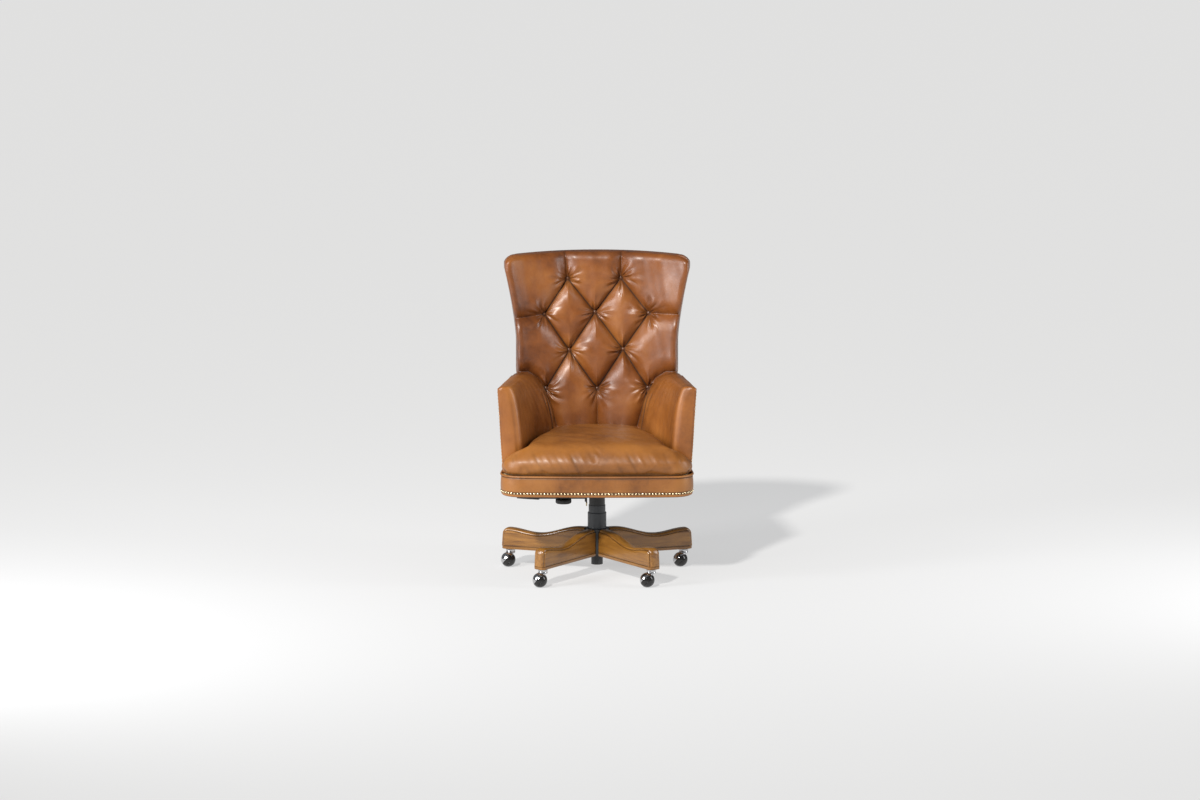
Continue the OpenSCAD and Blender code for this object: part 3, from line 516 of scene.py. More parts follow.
def back_half_w(z):
    t = np.clip((z - WAIST_Z) / (BACK_TOP - 0.050 - WAIST_Z), 0, 1)
    tuck = BACK_TUCK * ease((RAIL_TOP + ARM_H - z) / 0.120)
    over = np.clip(z - BACK_TOP + BACK_CORNER, 0, BACK_CORNER)
    return (WAIST_W / 2 + BACK_FLARE * t ** 1.4 - tuck - BACK_CORNER
            + np.sqrt(np.maximum(BACK_CORNER ** 2 - over ** 2, 0)))


def back_face(x, z):
    """Depth of the plain inside face of the back."""
    return BACK_IN_Y + (z - SEAT_TOP) * RAKE - WRAP * (np.abs(x) / (WAIST_W / 2)) ** WRAP_POWER


def back_slope(x):
    """How fast the back wraps forward at x."""
    return WRAP * WRAP_POWER * (abs(x) / (WAIST_W / 2)) ** (WRAP_POWER - 1) / (WAIST_W / 2) * np.sign(x)


def arm_along(y):
    return (y - ARM_FRONT_Y) / (BACK_IN_Y - ARM_FRONT_Y)


def arm_out(y, z):
    return (rail_side_x(y, LEATHER_INSET)
            + mix(ARM_FLARE, -ARM_PINCH, arm_along(y)) * (z - RAIL_TOP) / ARM_H)


# ---- tufted back ----------------------------------------------------------------------
def pleats():
    """Pleat lines of the back as (start, end, strength)."""
    links = "a1b1 a1b2 a2b2 a2b3 b1c1 b2c1 b2c2 b3c2 c1d1 c1d2 c2d2 c2d3"
    lines = [(BUTTONS[k[:2]], BUTTONS[k[2:]], 1.0) for k in links.split()]
    ends = {"a1": (-0.115, BACK_TOP + 0.02), "a2": (0.088, BACK_TOP + 0.02), "b1": (-0.330, 0.874),
            "b3": (0.330, 0.892), "d2": (0.004, RAIL_TOP)}
    lines += [(BUTTONS[k], end, 0.8) for k, end in ends.items()]
    for side, key in ((-1, "d1"), (1, "d3")):
        path = [BUTTONS[key], (side * 0.207, 0.662), (side * 0.2425, 0.688), (side * 0.300, 0.690)]
        lines += [(a, b, 0.9) for a, b in zip(path, path[1:])]
        lines.append((BUTTONS[key], (side * 0.142, 0.490), 0.9))
    return lines


def segment_distance(x, z, a, b):
    ax, az = a
    dx, dz = b[0] - ax, b[1] - az
    t = np.clip(((x - ax) * dx + (z - az) * dz) / (dx * dx + dz * dz), 0, 1)
    return np.hypot(x - ax - t * dx, z - az - t * dz), t


PUFF = 0.030
PUFF_REACH = 0.060
BUTTON_SINK = 0.012


def tufting(x, z):
    """How far the padding stands out of the plain face, and how much painted shade it gets in the pleats, button
    dimples and wrinkle troughs.
    """
    near = np.full(x.shape, 9.0)
    fold = np.zeros(x.shape)
    for a, b, strength in pleats():
        d, t = segment_distance(x, z, a, b)
        d = d + (1 - strength) * 0.014
        near = np.minimum(near, d)
        # painted shade along the pleat lines
        fold = np.maximum(fold, strength * np.exp(-(d / 0.0030) ** 2))
        fold = np.maximum(fold, 0.30 * strength * np.exp(-(d / 0.0090) ** 1.5))
    u = np.clip(near / PUFF_REACH, 0, 1)
    height = PUFF * (0.30 * np.sqrt(1 - (1 - u) ** 2) + 0.70 * (1 - (1 - u) ** 2.2))
    for k, (bx, bz) in enumerate(BUTTONS.values()):
        r = np.hypot(x - bx, z - bz)
        angle = np.arctan2(z - bz, x - bx)
        height -= BUTTON_SINK * np.exp(-(r / 0.019) ** 2)
        rng = np.random.default_rng(40 + k)
        ripple = np.zeros(x.shape)
        for count in (5, 8, 11, 13):
            bend = rng.uniform(-6, 6)
            ripple += rng.uniform(0.5, 1) * np.sin(count * angle + bend * r / 0.05 + rng.uniform(0, TAU))
        ripple = np.sign(ripple) * np.abs(ripple) ** 1.4 / 2.2
        reach = np.clip((r - 0.006) / 0.014, 0, 1) * np.exp(-(r / 0.050) ** 2)
        height += 0.0040 * ripple * reach
        # painted shade in the button dimples and in the troughs between the radiating wrinkles
        fold = np.maximum(fold, 0.9 * np.exp(-(r / 0.0105) ** 4))
        fold = np.maximum(fold, 0.42 * np.exp(-(r / 0.030) ** 2))
        fold = np.maximum(fold, 0.45 * reach * np.clip(-ripple - 0.15, 0, 1))
    # long soft drapes that hang from the buttons
    drape = waves(np.stack([x.ravel() + 0.12 * z.ravel(), 0.12 * z.ravel()], 1),
                  (0.031, 0.047, 0.062), 17).reshape(x.shape)
    height += 0.0005 * drape * u
    return height, fold


def back_surface(x, z):
    height, fold = tufting(x, z)
    flat = np.stack([x, z], 1) if x.ndim == 1 else np.stack([x.ravel(), z.ravel()], 1)
    swell = waves(flat, (0.11, 0.16, 0.07), 3, 0.0016).reshape(x.shape)
    return back_face(x, z) + PAD_RISE - height - swell, fold


def settle_top(points):
    """Lets the top of the back fall a little towards its rear edge, as a rolled edge does."""
    x, y, z = points[:, 0], points[:, 1], points[:, 2]
    depth = np.clip((y - back_face(x, z) - 0.030) / (PAD_T + FRAME_T - 0.030), 0, 1)
    near_top = ease((z - BACK_TOP + 0.060) / 0.060)
    points[:, 2] -= 0.014 * near_top * depth ** 1.6
    return points


def build_back():
    """Tufted front, rolled edges, side walls and a plain rear, as one closed skin."""
    edge = 0.024
    n_front, n_round, n_side, n_rear = ((400, 10, 8, 20))
    n_rows, n_top = ((420, 12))
    z_front = np.linspace(RAIL_TOP + 0.002, BACK_TOP - edge, n_rows)
    rolls = np.linspace(0, math.pi / 2, n_top)[1:]
    levels = [(z, 0.0, 0.0) for z in z_front]
    levels += [(BACK_TOP - edge + edge * math.sin(b), math.sin(b), 0.0) for b in rolls]
    levels += [(BACK_TOP, 1.0, t) for t in np.linspace(0, 1, 8)[1:]]
    rows, shade_marks = [], []
    for z, lift, across in levels:
        hw = float(back_half_w(np.array(z)))
        inner = hw - edge
        a = np.linspace(0, math.pi / 2, n_round + 1)[1:]
        xf = np.linspace(-inner, inner, n_front)
        xr = inner + edge * np.sin(a)
        x = np.concatenate([-xr[::-1], xf, xr])
        turn = np.concatenate([np.sin(a)[::-1], np.zeros(n_front), np.sin(a)])
        zz = np.full(x.shape, z)
        # the tufting fades out over the rolled edges
        y, fold = back_surface(x, np.minimum(zz, BACK_TOP - 0.004))
        y = y + edge * (1 - np.sqrt(np.clip(1 - turn ** 2 - lift ** 2, 0, 1)))
        rear_edge = float(back_face(np.array(hw), np.array(z))) + PAD_T + FRAME_T
        t = np.linspace(0, 1, n_side + 1)[1:]
        bulge = 0.003 * np.sin(math.pi * t) * (1 - lift)
        ys = mix(y[-1], rear_edge, t)
        xrear = np.linspace(hw, -hw, n_rear + 2)[1:-1]
        yrear = back_face(xrear, np.full(xrear.shape, z)) + PAD_T + FRAME_T
        px = np.concatenate([x, hw + bulge, xrear, (-hw - bulge)[::-1]])
        py = np.concatenate([y, ys, yrear, mix(y[0], rear_edge, t)[::-1]])
        pz = np.full(px.shape, z) + 0.003 * lift * (1 - np.minimum(np.abs(px) / 0.30, 1) ** 2)
        if across:
            plain = back_face(px, pz)
            py = np.maximum(py, mix(plain + PAD_RISE - PUFF + edge, plain + PAD_T + FRAME_T, across))
        rows.append(np.stack([px, py, pz], 1))
        # painted shade from the tufting on the front; none on the sides and rear
        shade_marks.append(np.concatenate([fold, np.zeros(len(px) - len(fold))]))
    cols = len(rows[0])
    points = settle_top(np.vstack(rows))
    faces = grid_faces(len(rows), cols, closed=True)
    faces.append(tuple(range(cols)))
    back = add_mesh("back_upholstery", points, faces, LEATHER_BACK_SHADED, "seat", ["back_pad"],
                    attributes={"painted_shade": np.concatenate(shade_marks)}, merge=1e-5)


def build_buttons():
    profile = [(0, 0.0050), (0.0030, 0.0046), (0.0056, 0.0033), (BUTTON_R, 0.0008), (BUTTON_R, -0.001),
               (0.0050, -0.002), (0, -0.002)]
    parts = []
    for x, z in BUTTONS.values():
        y, _ = back_surface(np.array([x]), np.array([z]))
        normal = Vector((-back_slope(x), -1, RAKE)).normalized()
        turn = Vector((0, 0, 1)).rotation_difference(normal).to_matrix().to_4x4()
        parts.append(lathe(profile, 28, Matrix.Translation((x, y[0] - 0.002, z)) @ turn))
    points, faces = join(parts)
    add_mesh("back_buttons_covered", points, faces, LEATHER_DARK, "seat",
             ["back_buttons"], attributes={"painted_shade": np.zeros(len(points))}, merge=1e-6)


def build_back_panel():
    """Plain outside leather of the back, slightly crowned, tucked in at its edges."""
    cols, rows = 60, 80
    points = []
    for z in np.linspace(RAIL_TOP + 0.002, BACK_TOP, rows):
        hw = float(back_half_w(np.array(z)))
        x = np.linspace(-1, 1, cols) * hw
        v = (z - RAIL_TOP) / (BACK_TOP - RAIL_TOP)
        crown = 0.0045 * (1 - np.abs(x / hw) ** 6) * (1 - abs(2 * v - 1) ** 8)
        y = back_face(x, np.full(cols, z)) + PAD_T + FRAME_T + 0.001 + crown
        points.append(np.stack([x, y, np.full(cols, z)], 1))
    outer = settle_top(np.vstack(points))
    ripple = waves(outer, (0.21, 0.13, 0.09), 11, 0.0006)
    outer[:, 1] += ripple
    points, faces = thicken(outer, (0, PANEL_T, 0), rows, cols)
    edge = np.minimum(1, np.abs(outer[:, 0]) / np.maximum(back_half_w(outer[:, 2]), 0.01))
    # painted shade along the side edges of the panel
    painted_shade = 0.6 * np.clip((edge - 0.965) / 0.035, 0, 1)
    add_mesh("back_outside_panel", points, faces, LEATHER, "seat", ["back_panel"],
             attributes={"painted_shade": np.concatenate([painted_shade, painted_shade])})


def build_back_welt():
    levels = np.concatenate([np.linspace(RAIL_TOP + 0.004, BACK_TOP - BACK_CORNER, 60),
                             BACK_TOP - BACK_CORNER * (1 - np.sin(np.linspace(0.1, math.pi / 2 - 0.02, 14)))])
    hw = back_half_w(levels) + 0.002
    y = back_face(hw, levels) + PAD_T + FRAME_T - 0.001
    rise = np.stack([hw, y, levels], 1)
    x = np.linspace(hw[-1], -hw[-1], 50)[1:-1]
    over = np.stack([x, back_face(x, np.full(x.shape, BACK_TOP)) + PAD_T + FRAME_T - 0.001,
                     BACK_TOP + 0.002 + 0.003 * (1 - np.minimum(np.abs(x) / 0.30, 1) ** 2)], 1)
    left = rise[::-1] * np.array([-1, 1, 1])
    path = settle_top(np.vstack([rise, over, left]))
    points, faces = sweep(path, circle(0.0032, 10), up=(0, 1, 0))
    add_mesh("back_piping", points, faces, LEATHER_DARK, "seat", ["back_welt"])


# ---- arms -----------------------------------------------------------------------------
def arm_thickness(s, rise):
    """Thickness of an arm at a share of its length and of its height: it scoops in towards the back."""
    front = 0.041 + 0.027 * np.sqrt(1 - np.clip(rise, 0, 1) ** 4)
    rear = 0.036 + 0.122 * np.sqrt(1 - np.clip(rise, 0, 1) ** 2)
    return mix(front, rear, np.clip(s, 0, 1) ** 1.9)


def arm_section(s, length):
    """Loop of an arm at share s of its length: up the inner face, over the top, down the outer."""
    bend_in, bend_out, bend_top = 0.026, 0.006, 0.010
    p = s * length

    def shrink(radius):
        return radius - math.sqrt(max(radius ** 2 - max(radius - p, 0) ** 2, 0))

    y0 = mix(ARM_FRONT_Y, 0.150, s)
    top = RAIL_TOP + ARM_H - 0.011 * s - shrink(bend_top)
    corner = 0.006
    loop = []
    for a in np.linspace(0, math.pi / 2, 56):
        rise = math.sin(a)
        z = mix(RAIL_TOP, top, rise)
        belly = 0.003 * math.sin(math.pi * rise)
        loop.append((arm_out(y0, z) - arm_thickness(s, rise) - belly + shrink(bend_in), z))
    x_top, x_out = loop[-1][0], arm_out(y0, top) - shrink(bend_out)
    for t in np.linspace(0, 1, 12)[1:]:
        loop.append((mix(x_top, x_out - corner, t), top + 0.0035 * math.sin(math.pi * t)))
    for a in np.linspace(0, math.pi / 2, 5)[1:]:
        loop.append((x_out - corner * (1 - math.sin(a)), top - corner * (1 - math.cos(a))))
    for h in np.linspace(1, 0, 68)[1:]:
        z = mix(RAIL_TOP, top - corner, h)
        loop.append((arm_out(y0, z) - shrink(bend_out), z))
    x, z = np.array(loop).T
    y = mix(ARM_FRONT_Y, back_face(np.minimum(x, 0.285), z) + 0.014, s)
    return np.stack([x, y, z], 1)


def build_arm(side, name):
    length = 0.345
    stations = np.concatenate([0.026 * (1 - np.cos(np.linspace(0, math.pi / 2, 12))) / length,
                               np.linspace(0.032 / length, 1.0, 110)])
    rows = [arm_section(s, length) for s in stations]
    cols = len(rows[0])
    front = rows[0]
    # the front face closes with strips between matching points of the inner and outer sides
    across = 12
    half = cols // 2
    strips = [mix(front[k], front[cols - 1 - k], t) for k in range(half) for t in np.linspace(0, 1, across)]
    points = np.vstack(rows + [np.array(strips)])
    base = len(rows) * cols
    faces = grid_faces(len(rows), cols)
    for i in range(len(rows) - 1):
        a, b = i * cols, (i + 1) * cols
        faces.append((a + cols - 1, a, b, b + cols - 1))
    faces += grid_faces(half, across, start=base)
    faces.append(tuple((len(rows) - 1) * cols + j for j in range(cols)))
    x, y, z = points.T
    rise = np.clip((z - RAIL_TOP) / ARM_H, 0, 1)
    share = np.clip((arm_out(y, z) - x) / np.maximum(arm_thickness(arm_along(y), rise), 0.03), 0, 1)
    inner = ease((share - 0.35) / 0.5) * ease((y - ARM_FRONT_Y - 0.02) / 0.03)
    gap = np.maximum(back_face(x, z) + PAD_RISE - y, 0)
    seed = 21 if side > 0 else 22
    flow = np.stack([y + 0.25 * x, z * 0.18 + x * 0.2], 1)
    ripple = waves(flow, (0.026, 0.041, 0.060), seed)
    x = x + (0.0010 + 0.0022 * np.exp(-gap / 0.055)) * ripple * inner * ease((1 - rise) / 0.1)
    crease = np.zeros(len(x))
    for offset, lean, reach in ((0.018, 0.03, 0.60), (0.040, -0.05, 0.52), (0.068, 0.06, 0.40)):
        line = np.exp(-((gap - offset - lean * (0.60 - z)) / 0.0032) ** 2)
        crease = np.maximum(crease, line * inner * ease((0.622 - z) / 0.02) * ease((z - 1.02 + reach) / 0.1))
    x = x + 0.0042 * crease
    front_face = np.clip((ARM_FRONT_Y + 0.002 - y) / 0.002, 0, 1)
    y = y - front_face * 0.0040 * np.sin(math.pi * rise) * np.sin(math.pi * share)
    # painted shade along the front outer edge, at the foot on the rail, in the creases and in the seam against
    # the back
    outer_edge = np.exp(-(share / 0.05) ** 2) * np.clip((ARM_FRONT_Y + 0.012 - y) / 0.01, 0, 1)
    seam = np.exp(-gap / 0.0045) + 0.45 * np.exp(-gap / 0.028)
    painted_shade = np.clip(0.75 * outer_edge + 0.5 * np.exp(-((z - RAIL_TOP) / 0.010) ** 2)
                      + 0.7 * crease + 0.8 * seam * (share > 0.1), 0, 1)
    # painted highlight along the rounded inner edge of the front face
    lighter_band = 0.7 * np.exp(-((share - 0.86) / 0.10) ** 2) * np.exp(-(((y - ARM_FRONT_Y) - 0.010) / 0.010) ** 2)
    points = np.stack([side * x, y, z], 1)
    piece = add_mesh(name, points, faces, LEATHER, "seat",
                     ["arm_pad_right" if side > 0 else "arm_pad_left"],
                     attributes={"painted_shade": painted_shade, "lighter_band": lighter_band}, merge=1e-5)


def build_arm_panel(side, name):
    """Outside leather of an arm, which runs back past the side of the back."""
    cols, rows = 46, 40
    y_end = 0.222
    points = []
    for v in np.linspace(0, 1, rows):
        for u in np.linspace(0, 1, cols):
            y = mix(ARM_FRONT_Y + 0.001, y_end, u)
            top = RAIL_TOP + ARM_H - 0.011 * u - 0.30 * max(u - 0.74, 0)
            z = mix(RAIL_TOP, top - 0.004, v)
            x = float(arm_out(min(y, 0.21), z)) + 0.0012
            x += 0.004 * (1 - abs(2 * u - 1) ** 6) * (1 - abs(2 * v - 1) ** 6)
            points.append((x, y, z))
    outer = np.array(points)
    outer[:, 0] += waves(outer[:, 1:], (0.17, 0.11), 31, 0.0005)
    points, faces = thicken(outer, (0.006, 0, 0), rows, cols)
    points[:, 0] *= side
    add_mesh(name, points, faces, LEATHER, "seat",
             ["arm_panel_right" if side > 0 else "arm_panel_left"],
             attributes={"painted_shade": np.zeros(len(points))})


# ---- seat -----------------------------------------------------------------------------
def arm_inner_x(y):
    s = np.clip((y - ARM_FRONT_Y) / 0.355, 0, 1)
    return rail_side_x(y, LEATHER_INSET) - arm_thickness(s, 0.30) + 0.002


def cushion_outline():
    """Plan of the T-shaped seat cushion from the middle of its front, and how widely each part rounds."""
    notch = ARM_FRONT_Y - 0.002
    half = [(*p, 0.104) for p in rail_half(0.003, 2) if p[1] < notch - 0.012]
    half.append((rail_side_x(notch, 0.003), notch - 0.008, 0.085))
    half.append((rail_side_x(notch, 0.003) - 0.008, notch, 0.060))
    for t in np.linspace(0, 1, 10)[1:]:
        x = mix(rail_side_x(notch, 0.003) - 0.008, arm_inner_x(notch), t)
        half.append((x, notch, mix(0.060, 0.030, t)))
    half += [(arm_inner_x(y), y, 0.030) for y in np.linspace(notch, 0.150, 34)[1:]]
    x_end = half[-1][0]
    for x in np.linspace(x_end, 0, 14)[1:]:
        half.append((x, back_face(x, RAIL_TOP) + 0.006, 0.030))
    half = np.array(half)
    return np.vstack([half, half[1:-1][::-1] * np.array([-1, 1, 1])])


def inside_of(outline, plan):
    """For plan points: distance to the outline, way inwards, nearest outline point and its radius."""
    best = np.full(len(plan), 9.0)
    spot, radius = np.zeros((len(plan), 2)), np.zeros(len(plan))
    for p, q in zip(outline, np.roll(outline, -1, 0)):
        step = q[:2] - p[:2]
        t = np.clip(((plan - p[:2]) @ step) / (step @ step), 0, 1)
        at = p[:2] + t[:, None] * step
        d = np.linalg.norm(plan - at, axis=1)
        closer = d < best
        best[closer], spot[closer] = d[closer], at[closer]
        radius[closer] = mix(p[2], q[2], t)[closer]
    inward = plan - spot
    inward /= np.maximum(np.linalg.norm(inward, axis=1), 1e-6)[:, None]
    return best, inward, spot, radius


def build_seat():
    """Crowned seat cushion: a plain block, remeshed, rounded, inflated as cloth, and creased."""
    outline = cushion_outline()
    n = len(outline)
    low, high = RAIL_TOP + 0.002, RAIL_TOP + 0.060
    points = np.vstack([np.c_[outline[:, :2], np.full(n, low)], np.c_[outline[:, :2], np.full(n, high)]])
    faces = grid_faces(2, n, closed=True) + [tuple(reversed(range(n))), tuple(n + k for k in range(n))]
    seat = add_mesh("seat_upholstery", points, faces, LEATHER_SEAT, "seat", ["seat_cushion"])
    remesh = seat.modifiers.new("remesh", "REMESH")
    remesh.mode = "VOXEL"
    remesh.voxel_size = 0.0055
    apply_modifiers(seat)
    round_seat(seat, outline, low, high)
    inflate(seat, pressure=2.5, frames=14, cap=0.009)
    seat.modifiers.new("smooth", "SUBSURF").levels = 1
    apply_modifiers(seat)
    crease_seat(seat, outline)
    seat.data.polygons.foreach_set("use_smooth", [True] * len(seat.data.polygons))


def round_seat(seat, outline, low, high):
    """Turns the block into a crowned cushion with wide rolled edges."""
    p = get_points(seat)
    v = np.clip((p[:, 2] - low) / (high - low), 0, 1)
    d, inward, spot, radius = inside_of(outline, p[:, :2])
    d = np.where(v < 0.98, np.where(d < 0.006, 0, d), d)
    turn = np.clip(d / (radius * 1.25), 0, 1) * math.pi / 2
    x, y = p[:, 0], p[:, 1]
    crown = SEAT_CROWN - 0.016 * (x / 0.33) ** 2 - 0.010 * np.clip((-y - 0.02) / 0.27, 0, 1) ** 2
    middle = RAIL_TOP + 0.036
    top = middle + (crown - middle) * np.sin(turn) ** 0.86
    on_top = ease((v - 0.90) / 0.1)
    moved = mix(d, np.where(turn < math.pi / 2, radius * (1 - np.cos(turn)), d - radius * 0.25), on_top)
    keep = 1 - np.clip((d - radius * 1.25) / 0.05, 0, 1)
    moved = mix(d, moved, keep)
    bulge = 0.006 * np.sin(math.pi * np.clip(v * 0.75, 0, 1)) - 0.007 * (1 - v) ** 4
    p[:, :2] = spot + inward * (moved - bulge * (d < radius))[:, None]
    p[:, 2] = mix(low, top, v)
    set_points(seat, p)
    relax = seat.modifiers.new("relax", "SMOOTH")
    relax.iterations = 24
    apply_modifiers(seat)


def inflate(piece, pressure, frames, cap):
    """Cloth simulation with inner pressure and no gravity; no point moves further than cap."""
    scene = bpy.context.scene
    before = get_points(piece)
    cloth = piece.modifiers.new("cloth", "CLOTH")
    for key, value in {"quality": 5, "use_pressure": True, "uniform_pressure_force": pressure,
                       "tension_stiffness": 18, "compression_stiffness": 18, "bending_stiffness": 3}.items():
        setattr(cloth.settings, key, value)
    cloth.settings.effector_weights.gravity = 0
    cloth.point_cache.frame_start = 1
    cloth.point_cache.frame_end = frames
    for step in range(1, frames + 1):
        scene.frame_set(step)
    evaluated = piece.evaluated_get(bpy.context.evaluated_depsgraph_get())
    after = np.zeros(len(before) * 3)
    evaluated.data.vertices.foreach_get("co", after)
    move = after.reshape(-1, 3) - before
    length = np.linalg.norm(move, axis=1)
    move *= (np.minimum(length, cap) / np.maximum(length, 1e-9))[:, None]
    piece.modifiers.remove(cloth)
    scene.frame_set(1)
    set_points(piece, before + move)


def crease_seat(seat, outline):
    """Adds the mitred folds at the front corners and the soft front wrinkles, with painted shade in them, along
    the hem and beside the arms.
    """
    p = get_points(seat)
    x, y, z = p.T
    v = np.clip((z - RAIL_TOP) / (SEAT_CROWN - RAIL_TOP), 0, 1)
    d, inward, _, _ = inside_of(outline, p[:, :2])
    front = ease((-0.20 - y) / 0.07)
    face = front * ease((v - 0.03) / 0.15) * ease((0.97 - v) / 0.35)
    flow = np.stack([x + 0.20 * z, 0.22 * z], 1)
    lines = waves(flow, (0.013, 0.023, 0.037, 0.052, 0.083), 5)
    lines = np.sign(lines) * np.abs(lines) ** 1.6 * (0.55 + 0.45 * waves(p[:, :1], (0.17, 0.29), 8))
    p[:, 1] -= 0.0036 * lines * face
    p[:, 2] += 0.0016 * waves(p[:, :2], (0.09, 0.15, 0.06, 0.21), 6) * ease((v - 0.7) / 0.3)
    fold = np.clip(0.8 * -lines * face, 0, 0.35)
    for side in (-1, 1):
        corner = ((0.327, ARM_FRONT_Y - 0.004, RAIL_TOP + 0.085), (0.318, -0.262, RAIL_TOP + 0.004), 1.0)
        tuck_1 = ((0.300, -0.240, RAIL_TOP + 0.092), (0.292, -0.288, RAIL_TOP + 0.050), 0.6)
        tuck_2 = ((0.286, -0.236, RAIL_TOP + 0.090), (0.281, -0.288, RAIL_TOP + 0.062), 0.45)
        for a, b, strength in (corner, tuck_1, tuck_2):
            a, b = np.array(a) * (side, 1, 1), np.array(b) * (side, 1, 1)
            t = np.clip(((p - a) @ (b - a)) / ((b - a) @ (b - a)), 0, 1)
            gap = np.linalg.norm(p - a - t[:, None] * (b - a), axis=1)
            crease = strength * np.exp(-(gap / 0.0050) ** 2)
            centre = np.array([side * 0.22, -0.16, RAIL_TOP + 0.03])
            away = p - centre
            p -= away / np.linalg.norm(away, axis=1)[:, None] * (0.0055 * crease)[:, None]
            fold = np.maximum(fold, 0.85 * crease)
    set_points(seat, p)
    # painted shade along the hem where the cushion sits on the rail, and in the gaps against the arms
    hem = 0.85 * np.exp(-(v / 0.07) ** 2)
    gap = 0.9 * np.exp(-np.maximum(d - 0.001, 0) / 0.010) * (y > ARM_FRONT_Y - 0.006)
    set_attribute(seat, "painted_shade", np.clip(np.maximum(np.maximum(fold, hem), gap), 0, 1))
    # lighter towards the top of the front roll
    set_attribute(seat, "lighter_band", np.clip(0.5 * ease((v - 0.65) / 0.3) * front, 0, 1))


def build_rail_band():
    """Leather wrapped round the rail: rolled under at the bottom, drawn in along the nails."""
    outline = rail_outline(0.0, 3)
    path = np.c_[outline, np.zeros(len(outline))]
    nail_z = RAIL_BOTTOM + NAIL_ROW
    section = [(-0.014, RAIL_BOTTOM + 0.001)]
    section += [(-0.007 + 0.0065 * math.sin(a), RAIL_BOTTOM + 0.0065 * (1 - math.cos(a)))
                for a in np.linspace(0, math.pi / 2, 7)]
    for z in np.linspace(RAIL_BOTTOM + 0.008, RAIL_TOP - 0.003, 26):
        v = (z - RAIL_BOTTOM) / (RAIL_TOP - RAIL_BOTTOM)
        out = 0.0022 * math.sin(math.pi * v) - 0.0014 * math.exp(-((z - nail_z) / 0.004) ** 2)
        section.append((out - 0.0005, z))
    section += [(-0.002, RAIL_TOP), (-0.008, RAIL_TOP), (-0.014, RAIL_TOP - 0.002)]
    points, faces = sweep(path, section, closed=True)
    v = points[:, 2]
    points[:, :2] *= (1 + waves(points, (0.12, 0.2, 0.07), 61, 0.0009))[:, None]
    # painted shade along the nail line, under the seat's edge at the top and under the rolled bottom edge
    painted_shade = (0.95 * np.exp(-((v - nail_z) / 0.0052) ** 4) + 0.7 * np.exp(-((v - RAIL_TOP) / 0.004) ** 2)
               + 0.5 * np.exp(-((v - RAIL_BOTTOM) / 0.003) ** 2))
    # lighter just above the rolled bottom edge
    lighter_band = 0.6 * np.exp(-((v - RAIL_BOTTOM - 0.006) / 0.004) ** 2)
    add_mesh("rail_leather", points, faces, LEATHER_SEAT, "seat", ["rail_band"],
             attributes={"painted_shade": np.clip(painted_shade, 0, 1), "lighter_band": lighter_band})


def build_seat_welt():
    outline = rail_outline(0.001, 3)
    path = np.c_[outline, np.full(len(outline), RAIL_TOP + 0.0035)]
    points, faces = sweep(path, circle(0.0042, 12), closed=True)
    # painted shade on the underside of the piping
    painted_shade = np.clip((RAIL_TOP + 0.002 - points[:, 2]) / 0.003, 0, 1)
    add_mesh("seat_piping", points, faces, LEATHER_SEAT, "seat", ["seat_welt"],
             attributes={"painted_shade": painted_shade})


# ---- nails ----------------------------------------------------------------------------
def nails(name, spots, stands_for):
    """Domed brass heads, each at a point with its outward direction."""
    dome = [(0, 0.0026), (0.0013, 0.0024), (0.0025, 0.0018), (0.0035, 0.0009), (NAIL_R, -0.0003),
            (NAIL_R - 0.0008, -0.0006), (0, -0.0006)]
    rng = np.random.default_rng(7)
    parts = []
    for point, normal in spots:
        lean = Vector(normal).normalized() + Vector(rng.normal(size=3) * 0.04)
        turn = Vector((0, 0, 1)).rotation_difference(lean).to_matrix().to_4x4()
        parts.append(lathe(dome, 14, Matrix.Translation(Vector(point)) @ turn))
    points, faces = join(parts)
    add_mesh(name, points, faces, BRASS, "seat", stands_for, merge=1e-6)


def build_nails():
    half = rail_half(0.0, 2)
    spots, travel = resample(half, NAIL_PITCH)
    out = np.stack([travel[:, 1], -travel[:, 0]], 1)
    rail = [((side * s[0], s[1], RAIL_BOTTOM + NAIL_ROW), (side * o[0], o[1], 0.0))
            for side in (1, -1) for s, o in zip(spots, out)]
    nails("rail_nail_heads", rail, ["rail_nails"])
    arm = []
    for side in (1, -1):
        up = [(arm_out(ARM_FRONT_Y + 0.008, z) + 0.0012, ARM_FRONT_Y + 0.008, z)
              for z in np.linspace(RAIL_TOP + 0.012, RAIL_TOP + ARM_H - 0.012, 20)]
        along = [(arm_out(y, RAIL_TOP + ARM_H - 0.016) + 0.0022, y,
                  RAIL_TOP + ARM_H - 0.014 - 0.011 * arm_along(y))
                 for y in np.linspace(ARM_FRONT_Y + 0.018, 0.085, 20)]
        for path in (up, along):
            arm += [((side * x, y, z), (side, 0, 0.04)) for x, y, z in resample(np.array(path), NAIL_PITCH)[0]]
    nails("arm_nail_heads", arm, ["arm_nails"])
    back = []
    inset = 0.011
    levels = np.linspace(RAIL_TOP + 0.010, BACK_TOP - BACK_CORNER, 60)
    hw = back_half_w(levels) - inset
    depth = PAD_T + FRAME_T + 0.0035
    rise = np.stack([hw, back_face(hw, levels) + depth, levels], 1)
    top_x = np.linspace(hw[-1] - 0.008, -hw[-1] + 0.008, 50)
    top_z = np.full(50, BACK_TOP - inset)
    top = np.stack([top_x, back_face(top_x, top_z) + depth, top_z], 1)
    for path in (rise, rise * np.array([-1, 1, 1]), top):
        back += [(tuple(spot), (back_slope(spot[0]), 1, -RAKE))
                 for spot in resample(settle_top(path), NAIL_PITCH)[0]]
    nails("back_nail_heads", back, ["back_nails"])


# ---- base -----------------------------------------------------------------------------
def leg_top(r):
    flat_end, waist_at, crest_at = 0.060, BASE_R * 0.62, BASE_R - 0.026
    if r < flat_end:
        return LEG_HUB_H
    if r < waist_at:
        return float(mix(LEG_HUB_H, LEG_WAIST_H, ease((r - flat_end) / (waist_at - flat_end))))
    if r < crest_at:
        return float(mix(LEG_WAIST_H, LEG_TIP_H, ease((r - waist_at) / (crest_at - waist_at))))
    return LEG_TIP_H


